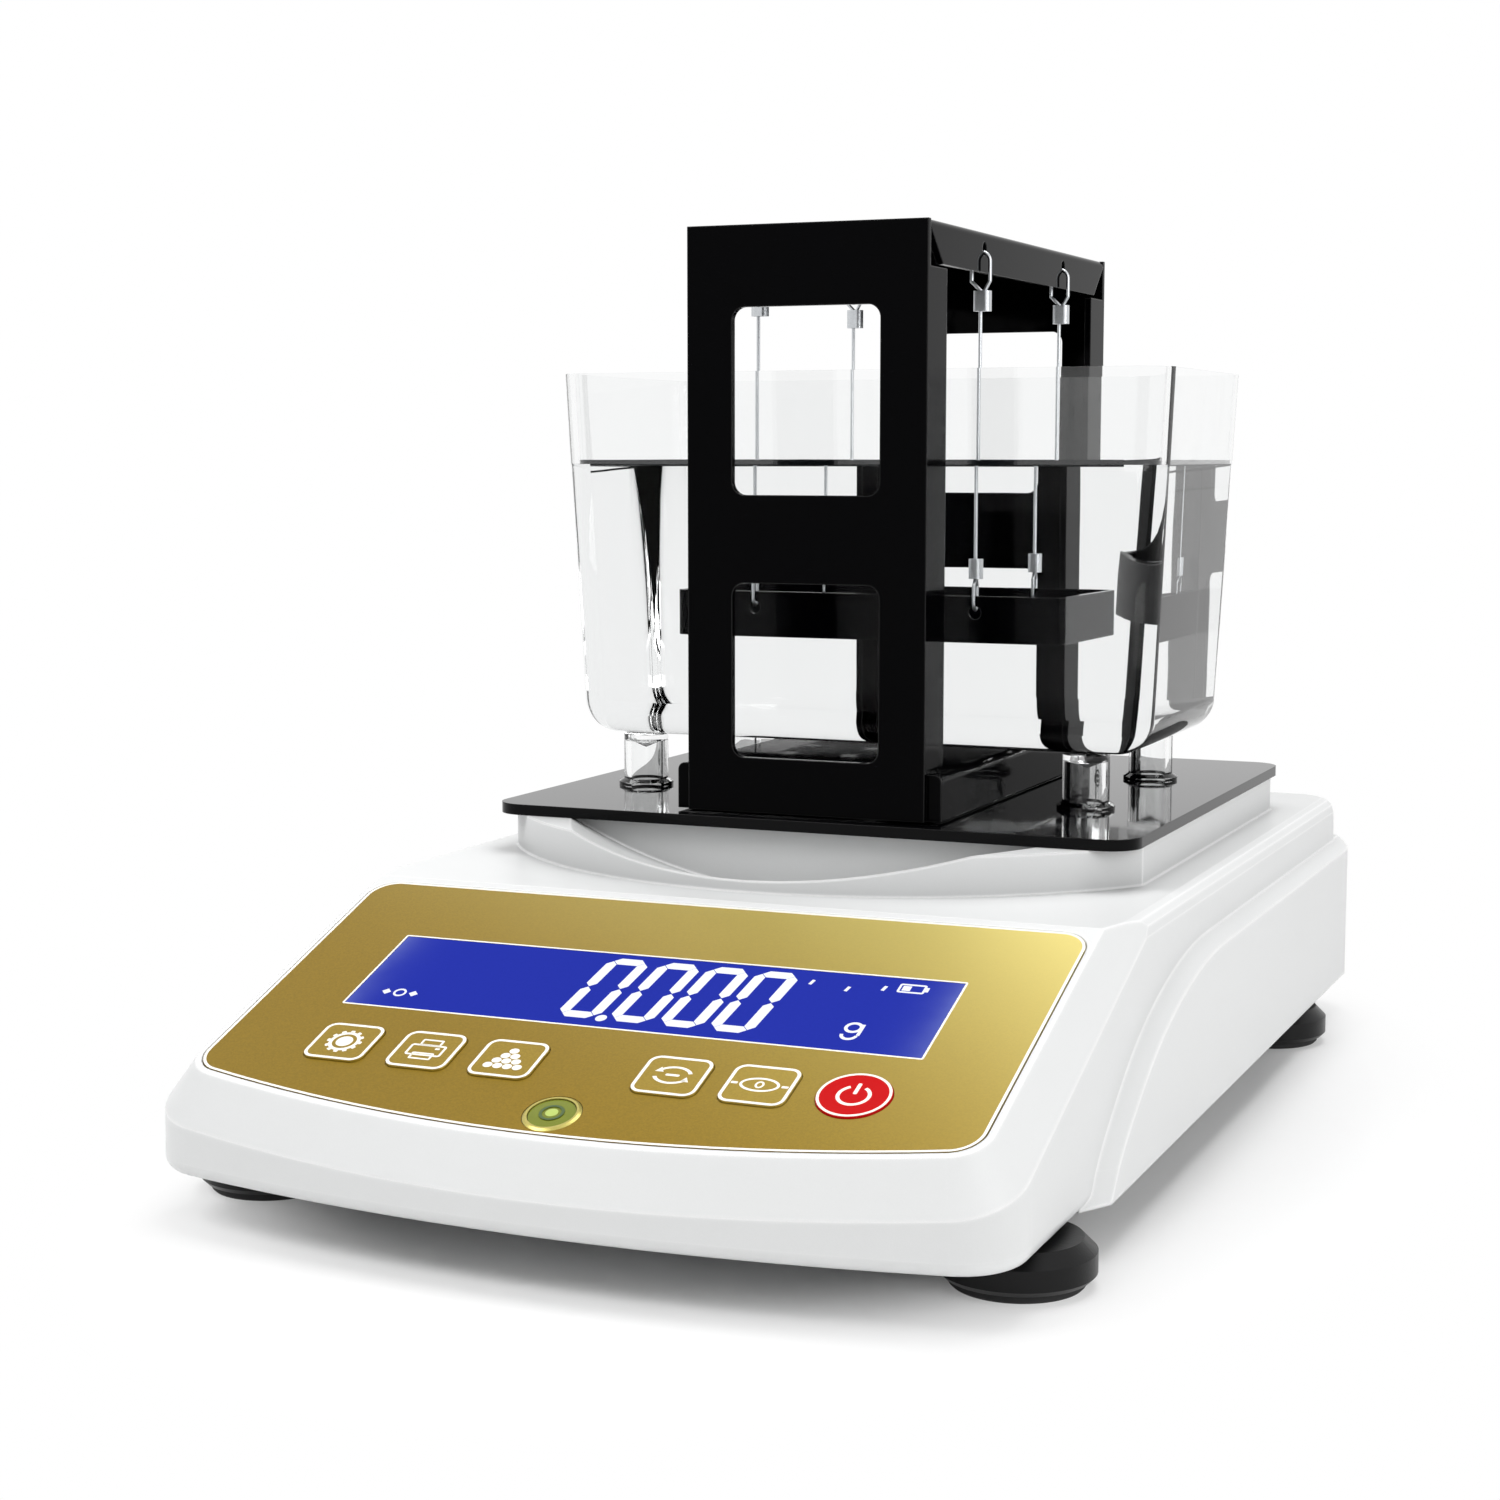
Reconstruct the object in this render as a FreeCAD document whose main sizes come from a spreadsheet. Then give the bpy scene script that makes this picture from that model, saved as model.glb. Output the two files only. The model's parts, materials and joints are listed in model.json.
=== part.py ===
import FreeCAD, Part
import math
import os
import re

import Sketcher
from FreeCAD import Placement, Rotation, Vector

# Benchtop density meter: an electronic balance with a hydrostatic weighing frame and a water tank.
# +Z is up, the keys face -Y, and the origin is on the bench under the middle of the housing.

doc = FreeCAD.newDocument("density_meter")
sheet = doc.addObject("Spreadsheet::Sheet", "sizes")

# Each row is a driving dimension in millimetres or degrees: alias, value, what it measures.
SIZES = [
    ("housing_length", 370, "front crease to rear wall"),
    ("edge_slack", 0.01, "rounding allowance in finding an edge"),
    ("housing_width", 209, "across the side walls at the shoulder, without the fenders"),
    ("side_draft", 1.5, "how far each side wall leans out from the shoulder to the underside"),
    ("housing_underside", 12, "bench to the underside"),
    ("shoulder_height", 68.5, "bench to the flat top beside the pedestal"),
    ("front_radius", 430, "bow of the front wall in plan"),
    ("front_corner_radius", 16, "front corners in plan"),
    ("rear_corner_radius", 14, "rear corners in plan"),
    ("shoulder_radius", 4, "round edge of the shoulder"),
    ("skirt_edge_radius", 3.5, "lower edge of the skirt"),
    ("panel_slope", 19.8, "slope of the control panel"),
    ("panel_run", 106.5, "front crease to the top of the slope, along Y"),
    ("bevel_drop", 9.5, "height of the bevel round the panel"),
    ("bevel_inset", 6.5, "width of the bevel round the panel"),
    ("cover_wall", 2.5, "wall of the moulded covers"),
    ("seat_gap", 0.3, "clearance between a piece and the part that carries it"),
    ("fit_gap", 0.06, "radial clearance of a running fit"),
    ("overrun", 2, "length by which a cut passes the face that it leaves"),
    ("fender_step", 5, "how far the side fenders stand out at the shoulder"),
    ("fender_front", 119, "middle of the housing to the front foot of a fender"),
    ("fender_height", 55.5, "bench to the top of a fender"),
    ("fender_ledge", 3, "height of the ledge along a fender"),
    ("fender_ramp", 9, "length of the ramp at the front of a fender"),
    ("pedestal_width", 182, "width of the raised pedestal"),
    ("pedestal_height", 79, "bench to the top of the pedestal"),
    ("pedestal_front", 16, "middle of the housing to the pedestal's front corners"),
    ("pedestal_bow", 50, "bow of the pedestal's front wall"),
    ("pedestal_rear", 148, "middle of the housing to the pedestal's rear wall"),
    ("pedestal_corner_radius", 10, "rear corners of the pedestal"),
    ("scoop_radius", 150, "round of the finger scoop"),
    ("scoop_tilt", 14, "fall of the scoop towards the back"),
    ("scoop_lip_height", 71.5, "bench to the lowest point of the scoop's lip"),
    ("scoop_back", 26, "middle of the housing to the back of the scoop"),
    ("carrier_hole", 25, "hole in the pedestal for the weighing column"),
    ("plate_width", 184, "black base plate, left to right"),
    ("plate_depth", 180, "black base plate, front to rear"),
    ("plate_thickness", 3, "black base plate"),
    ("plate_corner_radius", 9, "corners of the base plate"),
    ("plate_middle", 60, "middle of the housing to the middle of the plate, along Y"),
    ("peg_diameter", 6, "locating pegs of the base plate"),
    ("peg_length", 7, "locating pegs of the base plate"),
    ("peg_spread_x", 150, "locating pegs, left to right"),
    ("peg_spread_y", 130, "locating pegs, front to rear"),
    ("frame_width", 68, "weighing frame, left to right"),
    ("frame_depth", 167, "weighing frame, front to rear"),
    ("frame_height", 157, "base plate to the top of the weighing frame"),
    ("frame_sheet", 2, "sheet of the weighing frame"),
    ("post_width", 13, "posts beside the windows"),
    ("lower_sill", 15.5, "base plate to the lower window"),
    ("crossbar_low", 62.5, "base plate to the crossbar"),
    ("crossbar_high", 86, "base plate to the upper window"),
    ("header_low", 135.5, "base plate to the header"),
    ("window_radius", 3.5, "corners of the windows"),
    ("flange_depth", 14, "return flanges of the front and back plates"),
    ("lip_height", 11, "lips bent down from the top plate"),
    ("lip_slant", 10, "slant at the ends of a lip"),
    ("base_width", 76, "base channel of the weighing frame"),
    ("base_height", 12.5, "base channel of the weighing frame"),
    ("wire_spread", 75, "front to rear spacing of the hang wires"),
    ("wire_diameter", 1.0, "twisted hang wire"),
    ("wire_hole", 3.6, "holes for the wire loops"),
    ("hook_drop", 4.6, "top of the frame to the holes in the lips"),
    ("hook_gap", 0.5, "wire to the sheet that it hangs on or carries"),
    ("loop_half", 2.6, "half the width of a loop at the top of a wire"),
    ("tray_loop_half", 2.0, "half the width of a loop at the tray"),
    ("loop_rise", 10.5, "crimp sleeve to the turn of a wire loop"),
    ("crimp_diameter", 3.6, "crimp sleeve"),
    ("crimp_length", 5.5, "crimp sleeve"),
    ("tray_width", 116, "hanging tray, left to right"),
    ("tray_floor", 45, "base plate to the underside of the tray"),
    ("tray_height", 13, "walls of the tray"),
    ("tray_sheet", 1.5, "sheet of the tray"),
    ("tray_corner_radius", 5, "corners of the tray"),
    ("tray_hole_diameter", 6, "drain holes in the tray's floor"),
    ("tank_width", 181, "tank at the rim, left to right"),
    ("tank_depth", 94, "tank at the rim, front to rear"),
    ("tank_height", 105, "underside to rim of the tank"),
    ("tank_offset", -3, "middle of the frame to the middle of the tank, along X"),
    ("tank_taper_x", 5, "how far each end wall leans in"),
    ("tank_taper_y", 2.5, "how far the front and back walls lean in"),
    ("tank_wall", 2.5, "wall of the tank"),
    ("tank_corner_radius", 10, "upright corners of the tank"),
    ("tank_bottom_radius", 10, "lower edge of the tank"),
    ("tank_foot_diameter", 13, "clear feet of the tank"),
    ("tank_foot_height", 15, "clear feet of the tank"),
    ("tank_foot_wall", 2, "wall of the hollow tank feet"),
    ("tank_foot_ring", 16, "ring at the bottom of a tank foot"),
    ("tank_foot_spread_x", 134, "tank feet, left to right"),
    ("tank_foot_spread_y", 70, "tank feet, front to rear"),
    ("foot_spread_x", 191, "levelling feet, left to right"),
    ("foot_front_inset", 50, "front crease of the housing to the front feet"),
    ("foot_rear_inset", 64, "rear wall of the housing to the rear feet"),
    ("wheel_diameter", 35, "levelling wheel"),
    ("wheel_height", 9, "levelling wheel"),
    ("wheel_rim_height", 6, "straight rim of the levelling wheel"),
    ("sole_diameter", 30, "rubber sole"),
    ("sole_height", 2, "rubber sole"),
    ("stud_diameter", 8, "threaded stud of a foot"),
    ("stud_length", 17, "stud above the wheel"),
    ("insert_diameter", 12, "threaded insert in the base"),
    ("insert_height", 13, "threaded insert in the base"),
    ("sole_pin_diameter", 4, "pin that carries the wheel on the sole"),
    ("sole_pin_length", 5, "pin that carries the wheel on the sole"),
    ("overlay_thickness", 0.8, "control panel overlay"),
    ("overlay_margin", 8.2, "side wall to the overlay"),
    ("overlay_top", 50, "top edge of the overlay, up the slope from the panel's middle"),
    ("overlay_corner_radius", 7, "top corners of the overlay"),
    ("overlay_gap", 0.4, "groove round the overlay"),
    ("panel_middle", 50, "top of the slope to the panel's middle, along Y"),
    ("display_width", 147, "display window"),
    ("display_height", 32, "display window"),
    ("display_middle", 8, "middle of the display, up the slope"),
    ("window_flange", 2, "flange behind the display window"),
    ("window_flange_thickness", 1, "flange behind the display window"),
    ("panel_wall", 3, "panel skin of the top cover"),
    ("module_thickness", 4.6, "display module"),
    ("board_thickness", 1.6, "circuit boards"),
    ("display_board_width", 172, "board behind the panel"),
    ("display_board_height", 72, "board behind the panel"),
    ("key_width", 16, "rectangular keys"),
    ("key_height", 15, "rectangular keys"),
    ("key_radius", 3, "corners of the keys"),
    ("key_rise", 0.5, "keys above the overlay"),
    ("key_body", 1.6, "thickness of a key cap"),
    ("key_gap", 0.15, "gap round a key"),
    ("key_row", -25, "row of keys, up the slope"),
    ("key_travel", 0.5, "travel of a key"),
    ("plunger_diameter", 4, "plunger under a key"),
    ("power_diameter", 17, "round power key"),
    ("power_place", 64, "power key, to the right of the middle"),
    ("switch_size", 6, "tactile switch"),
    ("switch_height", 3.4, "tactile switch"),
    ("level_diameter", 11, "bubble level"),
    ("level_depth", 8, "bubble level"),
    ("level_place", -43.3, "bubble level, up the slope"),
    ("level_ring_width", 1.2, "ring round the bubble level"),
    ("cell_length", 130, "load cell"),
    ("cell_width", 22, "load cell"),
    ("cell_height", 22, "load cell"),
    ("cell_floor", 26, "bench to the underside of the load cell"),
    ("cell_hole", 15, "bores of the load cell"),
    ("cell_pad", 30, "clamped length at each end of the load cell"),
    ("carrier_thickness", 4, "plate from the load cell to the weighing column"),
    ("column_diameter", 14, "weighing column"),
    ("column_flange", 30, "flange of the weighing column"),
    ("spigot_diameter", 8, "spigot that centres the weighing frame"),
    ("spigot_height", 5, "spigot that centres the weighing frame"),
    ("frame_lift", 0.6, "gap between the base channel and the base plate"),
    ("stop_gap", 0.6, "overload stop to the carrier plate"),
    ("bolt_diameter", 6, "bolts of the load cell"),
    ("boss_diameter", 9, "screw bosses"),
    ("screw_diameter", 3.5, "housing screws"),
    ("screw_head_diameter", 6.5, "heads of the housing screws"),
    ("battery_width", 47, "rechargeable battery"),
    ("battery_length", 70, "rechargeable battery"),
    ("battery_height", 40, "rechargeable battery"),
    ("main_board_width", 46, "main circuit board"),
    ("main_board_length", 110, "main circuit board"),
    ("standoff_height", 9, "main board above the floor"),
    ("jack_place", -62, "power jack, to the right of the middle"),
    ("jack_size", 11, "power jack"),
    ("port_place", 12, "serial port, to the right of the middle"),
    ("port_width", 31, "serial port flange"),
    ("port_height", 12.5, "serial port flange"),
    ("port_shell_width", 17, "serial port shell"),
    ("port_shell_height", 8.4, "serial port shell"),
    ("connector_height", 34, "bench to the middle of the rear connectors"),
]

sheet.set("A1", "name")
sheet.set("B1", "value")
sheet.set("C1", "meaning")
for row, (alias, value, meaning) in enumerate(SIZES, start=2):
    sheet.set(f"A{row}", alias)
    sheet.set(f"B{row}", str(value))
    sheet.set(f"C{row}", meaning)
    sheet.setAlias(f"B{row}", alias)
doc.recompute()

ALIASES = {alias for alias, value, meaning in SIZES}


def size(alias):
    """The value of one cell of the sheet."""
    return float(sheet.get(alias))


def linked(formula):
    """A formula in the sheet's aliases, as FreeCAD writes it."""
    return re.sub(r"[a-z_]+", lambda word: "sizes." + word[0] if word[0] in ALIASES else word[0], formula)


def bind(thing, **formulas):
    """Bind properties of an object to formulas; a double underscore stands for a dot."""
    for name, formula in formulas.items():
        thing.setExpression(name.replace("__", "."), linked(formula))


# Sketches: every corner and centre is tied to the origin by two formulas.

def new_body(label):
    body = doc.addObject("PartDesign::Body", label)
    body.Label = label
    return body


def new_sketch(body, role, offset="0"):
    """A sketch on one of the body's own origin planes, moved along that plane's normal."""
    sketch = body.newObject("Sketcher::SketchObject", body.Name + "_sketch")
    plane = next(item for item in body.Origin.OriginFeatures if item.Role == role)
    sketch.AttachmentSupport = (plane, [""])
    sketch.MapMode = "FlatFace"
    sketch.setExpression("AttachmentOffset.Base.z", linked(offset))
    return sketch


def pin_point(sketch, geometry, point, place):
    for kind, formula in zip(("DistanceX", "DistanceY"), place):
        start = sketch.getPoint(geometry, point)
        number = sketch.addConstraint(
            Sketcher.Constraint(kind, geometry, point, start.x if kind == "DistanceX" else start.y))
        sketch.setExpression(f"Constraints[{number}]", linked(formula))


def polygon(sketch, corners):
    """A closed outline through corners that are pairs of formulas."""
    count, first = len(corners), sketch.GeometryCount
    turn = 2 * math.pi / count
    ring = [Vector(math.cos(turn * step), math.sin(turn * step), 0) for step in range(count)]
    for step in range(count):
        sketch.addGeometry(Part.LineSegment(ring[step], ring[(step + 1) % count]))
    for step in range(count):
        following = first + (step + 1) % count
        sketch.addConstraint(Sketcher.Constraint("Coincident", first + step, 2, following, 1))
    for step, corner in enumerate(corners):
        pin_point(sketch, first + step, 1, corner)


def rectangle(sketch, width, height, middle=("0", "0")):
    left, right = f"{middle[0]} - ({width}) / 2", f"{middle[0]} + ({width}) / 2"
    low, high = f"{middle[1]} - ({height}) / 2", f"{middle[1]} + ({height}) / 2"
    polygon(sketch, [(left, low), (right, low), (right, high), (left, high)])


def circle(sketch, diameter, middle=("0", "0")):
    number = sketch.addGeometry(Part.Circle(Vector(0, 0, 0), Vector(0, 0, 1), 1))
    radius = sketch.addConstraint(Sketcher.Constraint("Radius", number, 1))
    sketch.setExpression(f"Constraints[{radius}]", linked(f"({diameter}) / 2"))
    pin_point(sketch, number, 3, middle)


def pad(body, sketch, length, symmetric=False):
    feature = body.newObject("PartDesign::Pad", body.Name + "_pad")
    feature.Profile = sketch
    feature.setExpression("Length", linked(length))
    feature.Midplane = symmetric
    doc.recompute()
    return feature


def pocket(body, sketch, length, symmetric=False, flipped=False):
    feature = body.newObject("PartDesign::Pocket", body.Name + "_pocket")
    feature.Profile = sketch
    feature.setExpression("Length", linked(length))
    feature.Midplane = symmetric
    feature.Reversed = flipped
    before = body.Shape.Volume
    doc.recompute()
    if feature.Shape.Volume >= before:
        raise RuntimeError(body.Label + ": a pocket cuts nothing")
    return feature


def revolve(body, sketch, angle=360):
    feature = body.newObject("PartDesign::Revolution", body.Name + "_revolution")
    feature.Profile = sketch
    feature.ReferenceAxis = (sketch, ["V_Axis"])
    feature.Angle = angle
    doc.recompute()
    return feature


def fillet(body, radius, wanted):
    """Round the edges of the body's last feature for which wanted(edge) holds."""
    base = body.Tip
    names = [f"Edge{number}" for number, edge in enumerate(base.Shape.Edges, start=1) if wanted(edge)]
    feature = body.newObject("PartDesign::Fillet", body.Name + "_fillet")
    feature.Base = (base, names)
    feature.setExpression("Radius", linked(radius))
    doc.recompute()
    return feature


def straight_along(edge, axis):
    """Whether an edge is a straight line along an axis, 0 for X, 1 for Y and 2 for Z."""
    if edge.Curve.TypeId != "Part::GeomLine":
        return False
    way = edge.lastVertex().Point - edge.firstVertex().Point
    return abs(way[axis]) > 0.999 * way.Length


def inside(edge, axis, reach):
    """Whether the middle of an edge is nearer than reach to the plane across an axis."""
    return abs(edge.CenterOfMass[axis]) < reach


def place(thing, x="0", y="0", z="0"):
    bind(thing, Placement__Base__x=x, Placement__Base__y=y, Placement__Base__z=z)


# Part primitives and booleans, bound the same way.

def block(label, length, width, height, x, y, z):
    """A box centred on x and y, standing on z."""
    box = doc.addObject("Part::Box", label)
    bind(box, Length=length, Width=width, Height=height)
    place(box, f"{x} - ({length}) / 2", f"{y} - ({width}) / 2", z)
    return box


def cylinder(label, diameter, height, x, y, z, axis=None):
    rod = doc.addObject("Part::Cylinder", label)
    bind(rod, Radius=f"({diameter}) / 2", Height=height)
    if axis:
        rod.Placement = Placement(Vector(0, 0, 0), Rotation(Vector(0, 0, 1), axis))
    place(rod, x, y, z)
    return rod


def fuse(label, pieces):
    joined = doc.addObject("Part::MultiFuse", label)
    joined.Shapes = pieces
    joined.Label = label
    return joined


def group(label, pieces):
    """Separate solids that share one node."""
    bundle = doc.addObject("Part::Compound", label)
    bundle.Links = pieces
    bundle.Label = label
    return bundle


def cut(label, base, tool):
    remainder = doc.addObject("Part::Cut", label)
    remainder.Base = base
    remainder.Tool = tool
    remainder.Label = label
    return remainder


def moulding(label, shape):
    """A free-form piece, shaped with Part's own functions."""
    feature = doc.addObject("Part::Feature", label)
    feature.Label = label
    feature.Shape = shape
    feature.Placement = shape.Placement
    return feature


NODES = []


def node(thing):
    NODES.append(thing)
    return thing


# Values that several pieces share.

half_length = size("housing_length") / 2
slope = math.radians(size("panel_slope"))
slope_top_y = size("panel_run") - half_length
panel_origin = Vector(0, slope_top_y - size("panel_middle"),
                      size("shoulder_height") - size("panel_middle") * math.tan(slope))
panel_placement = Placement(panel_origin, Rotation(Vector(1, 0, 0), size("panel_slope")))
PANEL_Y = "panel_run - housing_length / 2 - panel_middle"
PANEL_Z = "shoulder_height - panel_middle * tan(panel_slope * 1 deg)"
PLATE_TOP = "(pedestal_height + plate_thickness)"
plate_top = size("pedestal_height") + size("plate_thickness")
plate_middle = Vector(0, size("plate_middle"), plate_top)
reach = size("housing_length") * 2


def on_panel(thing, up="0", x="0", depth="0"):
    """Lay a piece on the sloping panel: x across, up the slope, depth out of the surface."""
    thing.Placement = panel_placement
    place(thing, x, f"{PANEL_Y} + ({up}) * cos(panel_slope * 1 deg) - ({depth}) * sin(panel_slope * 1 deg)",
          f"{PANEL_Z} + ({up}) * sin(panel_slope * 1 deg) + ({depth}) * cos(panel_slope * 1 deg)")
    bind(thing, Placement__Rotation__Angle="panel_slope * 1 deg")
    return thing


# Housing mouldings.

def plan_outline(inset, widen=0.0):
    """The housing in plan at the shoulder, drawn in by inset all round and widened at the sides."""
    half_width = size("housing_width") / 2 - inset + widen
    bow = size("front_radius") - inset
    front = size("front_corner_radius") - inset
    rear_radius = size("rear_corner_radius") - inset
    bow_middle = Vector(0, size("front_radius") - half_length, 0)
    corner_x = half_width - front
    corner = Vector(corner_x, bow_middle.y - math.sqrt((bow - front) ** 2 - corner_x ** 2), 0)
    away = (corner - bow_middle).normalize()
    touch = bow_middle + away * bow
    bend = (away + Vector(1, 0, 0)).normalize()
    rear = half_length - inset
    rear_middle = Vector(half_width - rear_radius, rear - rear_radius, 0)
    out = Vector(1, 1, 0).normalize()
    right = [
        Part.Arc(touch, corner + bend * front, Vector(half_width, corner.y, 0)).toShape(),
        Part.LineSegment(Vector(half_width, corner.y, 0), Vector(half_width, rear_middle.y, 0)).toShape(),
        Part.Arc(Vector(half_width, rear_middle.y, 0), rear_middle + out * rear_radius,
                 Vector(rear_middle.x, rear, 0)).toShape(),
    ]
    mirrored = [edge.mirror(Vector(0, 0, 0), Vector(1, 0, 0)) for edge in right]
    bow_edge = Part.Arc(Vector(-touch.x, touch.y, 0), Vector(0, inset - half_length, 0), touch).toShape()
    back_edge = Part.LineSegment(Vector(rear_middle.x, rear, 0), Vector(-rear_middle.x, rear, 0)).toShape()
    return Part.Wire(Part.__sortEdges__([bow_edge] + right + [back_edge] + mirrored))


def prism(wire, low, high):
    face = Part.Face(wire)
    face.translate(Vector(0, 0, low))
    return face.extrude(Vector(0, 0, high - low))


def raised(wire, height):
    wire.translate(Vector(0, 0, height))
    return wire


def drafted(inset, extra=0.0):
    """The housing's wall, drawn in by inset, as a tall solid that leans out towards the underside."""
    rise = size("shoulder_height") - size("housing_underside")
    slant = size("side_draft") / rise
    low, high = size("housing_underside") - extra, size("shoulder_height") + 2 * rise
    return Part.makeLoft([raised(plan_outline(inset, slant * (size("shoulder_height") - height)), height)
                          for height in (low, high)], True, True)


def rounded_roof():
    """Everything inside the round edge of the shoulder, as a stack of outlines."""
    radius = size("shoulder_radius")
    shoulder = size("shoulder_height")
    wires = [raised(plan_outline(0, 2 * size("side_draft")), 0),
             raised(plan_outline(0, size("side_draft")), shoulder - 2 * radius)]
    for turn in (0, 30, 60, 90):
        angle = math.radians(turn)
        wires.append(raised(plan_outline(radius * (1 - math.cos(angle))),
                            shoulder - radius * (1 - math.sin(angle))))
    return Part.makeLoft(wires, True, True)


def across(points, half_width=reach):
    """A profile in the YZ plane, as long as the housing is wide and more."""
    corners = [Vector(-half_width, y, z) for y, z in points]
    face = Part.Face(Part.makePolygon(corners + corners[:1]))
    return face.extrude(Vector(2 * half_width, 0, 0))


def below_panel(drop, low, ceiling):
    """Everything under a plane that lies drop below the panel and under a flat ceiling."""
    front, rear = -half_length - size("overrun"), half_length + size("overrun")
    bend_y = slope_top_y + (ceiling - size("shoulder_height") + drop) / math.tan(slope)
    front_z = ceiling - (bend_y - front) * math.tan(slope)
    return across([(front, low), (rear, low), (rear, ceiling), (bend_y, ceiling), (front, front_z)])


def slanted_outline(column, drop):
    """The outline that a column cuts in a plane parallel to the panel and drop below it."""
    height = size("shoulder_height") - drop
    sheet_face = Part.Face(Part.makePolygon([
        Vector(x, y, height + (y - slope_top_y) * math.tan(slope))
        for x, y in ((-reach, -reach), (reach, -reach), (reach, reach), (-reach, reach), (-reach, -reach))]))
    return sheet_face.common(column).Faces[0].OuterWire


def scoop(extra=0.0):
    """The finger scoop in front of the base plate, grown by extra."""
    radius = size("scoop_radius") + extra
    tilt = math.radians(size("scoop_tilt"))
    lip = Vector(0, size("plate_middle") - size("plate_depth") / 2 - size("pedestal_bow") * 0.7,
                 size("scoop_lip_height"))
    along = Vector(0, math.cos(tilt), -math.sin(tilt))
    up = Vector(0, math.sin(tilt), math.cos(tilt))
    start = lip + up * (size("scoop_radius")) - along * size("pedestal_bow")
    round_tool = Part.makeCylinder(radius, size("housing_length"), start, along)
    front_space = across([(-half_length, 0), (extra - size("scoop_back"), 0),
                          (extra - size("scoop_back"), reach), (-half_length, reach)])
    return round_tool.common(front_space)


def pedestal_outline(inset):
    half_width = size("pedestal_width") / 2 - inset
    front = -size("pedestal_front") + inset
    nose = front - size("pedestal_bow")
    rear = size("pedestal_rear") - inset
    corner = size("pedestal_corner_radius")
    turn = corner * (1 - math.sqrt(0.5))
    return Part.Wire([
        Part.Arc(Vector(-half_width, front, 0), Vector(0, nose, 0), Vector(half_width, front, 0)).toShape(),
        Part.LineSegment(Vector(half_width, front, 0), Vector(half_width, rear - corner, 0)).toShape(),
        Part.Arc(Vector(half_width, rear - corner, 0), Vector(half_width - turn, rear - turn, 0),
                 Vector(half_width - corner, rear, 0)).toShape(),
        Part.LineSegment(Vector(half_width - corner, rear, 0), Vector(corner - half_width, rear, 0)).toShape(),
        Part.Arc(Vector(corner - half_width, rear, 0), Vector(turn - half_width, rear - turn, 0),
                 Vector(-half_width, rear - corner, 0)).toShape(),
        Part.LineSegment(Vector(-half_width, rear - corner, 0), Vector(-half_width, front, 0)).toShape(),
    ])


# Points of a fender's arch, as shares of its height: along the housing, and up.
ARCH_SHARES = [(0.16, 0.17), (0.48, 0.39), (0.90, 0.62), (1.40, 0.81), (1.86, 0.92), (2.75, 1.0)]


def fender_face(x, ramp, ledge):
    """The side view of a fender: a steep front foot, a round arch and a flat top."""
    low = size("housing_underside")
    top = size("fender_height") - ledge
    front = ramp - size("fender_front")
    rise = top - low
    arch = [Vector(x, front + share_y * rise, low + share_z * rise) for share_y, share_z in ARCH_SHARES]
    curve = Part.BSplineCurve()
    curve.interpolate(Points=arch, InitialTangent=Vector(0, 0.75, 0.66), FinalTangent=Vector(0, 1, 0))
    rear = half_length
    foot = Vector(x, front, low)
    heel = Vector(x, rear, low)
    back = Vector(x, rear, top)
    edges = [Part.LineSegment(foot, arch[0]).toShape(), curve.toShape(),
             Part.LineSegment(arch[-1], back).toShape(), Part.LineSegment(back, heel).toShape(),
             Part.LineSegment(heel, foot).toShape()]
    return Part.Wire(edges)


def fenders():
    """Both fenders: a ledge along the top and a ramp at the front, rounded with the rear corners."""
    wall = size("housing_width") / 2
    inner = fender_face(wall - size("rear_corner_radius"), 0.0, 0.0)
    seam = fender_face(wall, 0.0, 0.0)
    outer = fender_face(wall + size("fender_step"), size("fender_ramp"), size("fender_ledge"))
    right = Part.makeLoft([inner, seam], True, True).fuse(Part.makeLoft([seam, outer], True, True))
    right = right.common(prism(plan_outline(0, size("fender_step")), 0, size("shoulder_height")))
    return [right, right.mirror(Vector(0, 0, 0), Vector(1, 0, 0))]


def round_lower_edge(solid, height, radius):
    edges = [edge for edge in solid.Edges
             if all(abs(vertex.Point.z - height) < 0.001 for vertex in edge.Vertexes)]
    return solid.makeFillet(radius, edges)


def column_at(x, y, low, high, diameter):
    return Part.makeCylinder(diameter / 2, high - low, Vector(x, y, low))


def in_panel(shape):
    """Move a shape that was built flat round the panel's middle to its place on the slope."""
    moved = shape.copy()
    moved.Placement = panel_placement.multiply(moved.Placement)
    return moved


def panel_block(width, height, low, high, x=0.0, up=0.0, radius=0.0):
    box = Part.makeBox(width, height, high - low, Vector(x - width / 2, up - height / 2, low))
    if radius:
        box = box.makeFillet(radius, [edge for edge in box.Edges if straight_along(edge, 2)])
    return in_panel(box)


def panel_rod(diameter, low, high, x=0.0, up=0.0):
    return in_panel(Part.makeCylinder(diameter / 2, high - low, Vector(x, up, low)))


# Places along the key row, as shares of the display's width.
KEY_SHARES = {
    "set_key": -0.432,
    "print_key": -0.282,
    "enter_key": -0.136,
    "mode_key": 0.143,
    "zero_key": 0.286,
}
BOARD_POST_SHARES = [(sx, sy) for sx in (-0.475, 0.475) for sy in (-0.42, 0.42)]
SCREW_SHARES = [(side * 0.445, along) for side in (-1, 1) for along in (-0.27, -0.10, 0.44)]


def screw_places():
    return [(share_x * size("housing_width"), share_y * size("housing_length"))
            for share_x, share_y in SCREW_SHARES]


def board_posts():
    return [(share_x * size("display_board_width"), share_y * size("display_board_height"))
            for share_x, share_y in BOARD_POST_SHARES]


def peg_places():
    return [(sx * size("peg_spread_x") / 2, size("plate_middle") + sy * size("peg_spread_y") / 2)
            for sx in (-1, 1) for sy in (-1, 1)]


def foot_places():
    half_length = size("housing_length") / 2
    front, rear = size("foot_front_inset") - half_length, half_length - size("foot_rear_inset")
    return [(sx * size("foot_spread_x") / 2, y) for y in (front, rear) for sx in (-1, 1)]


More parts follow.
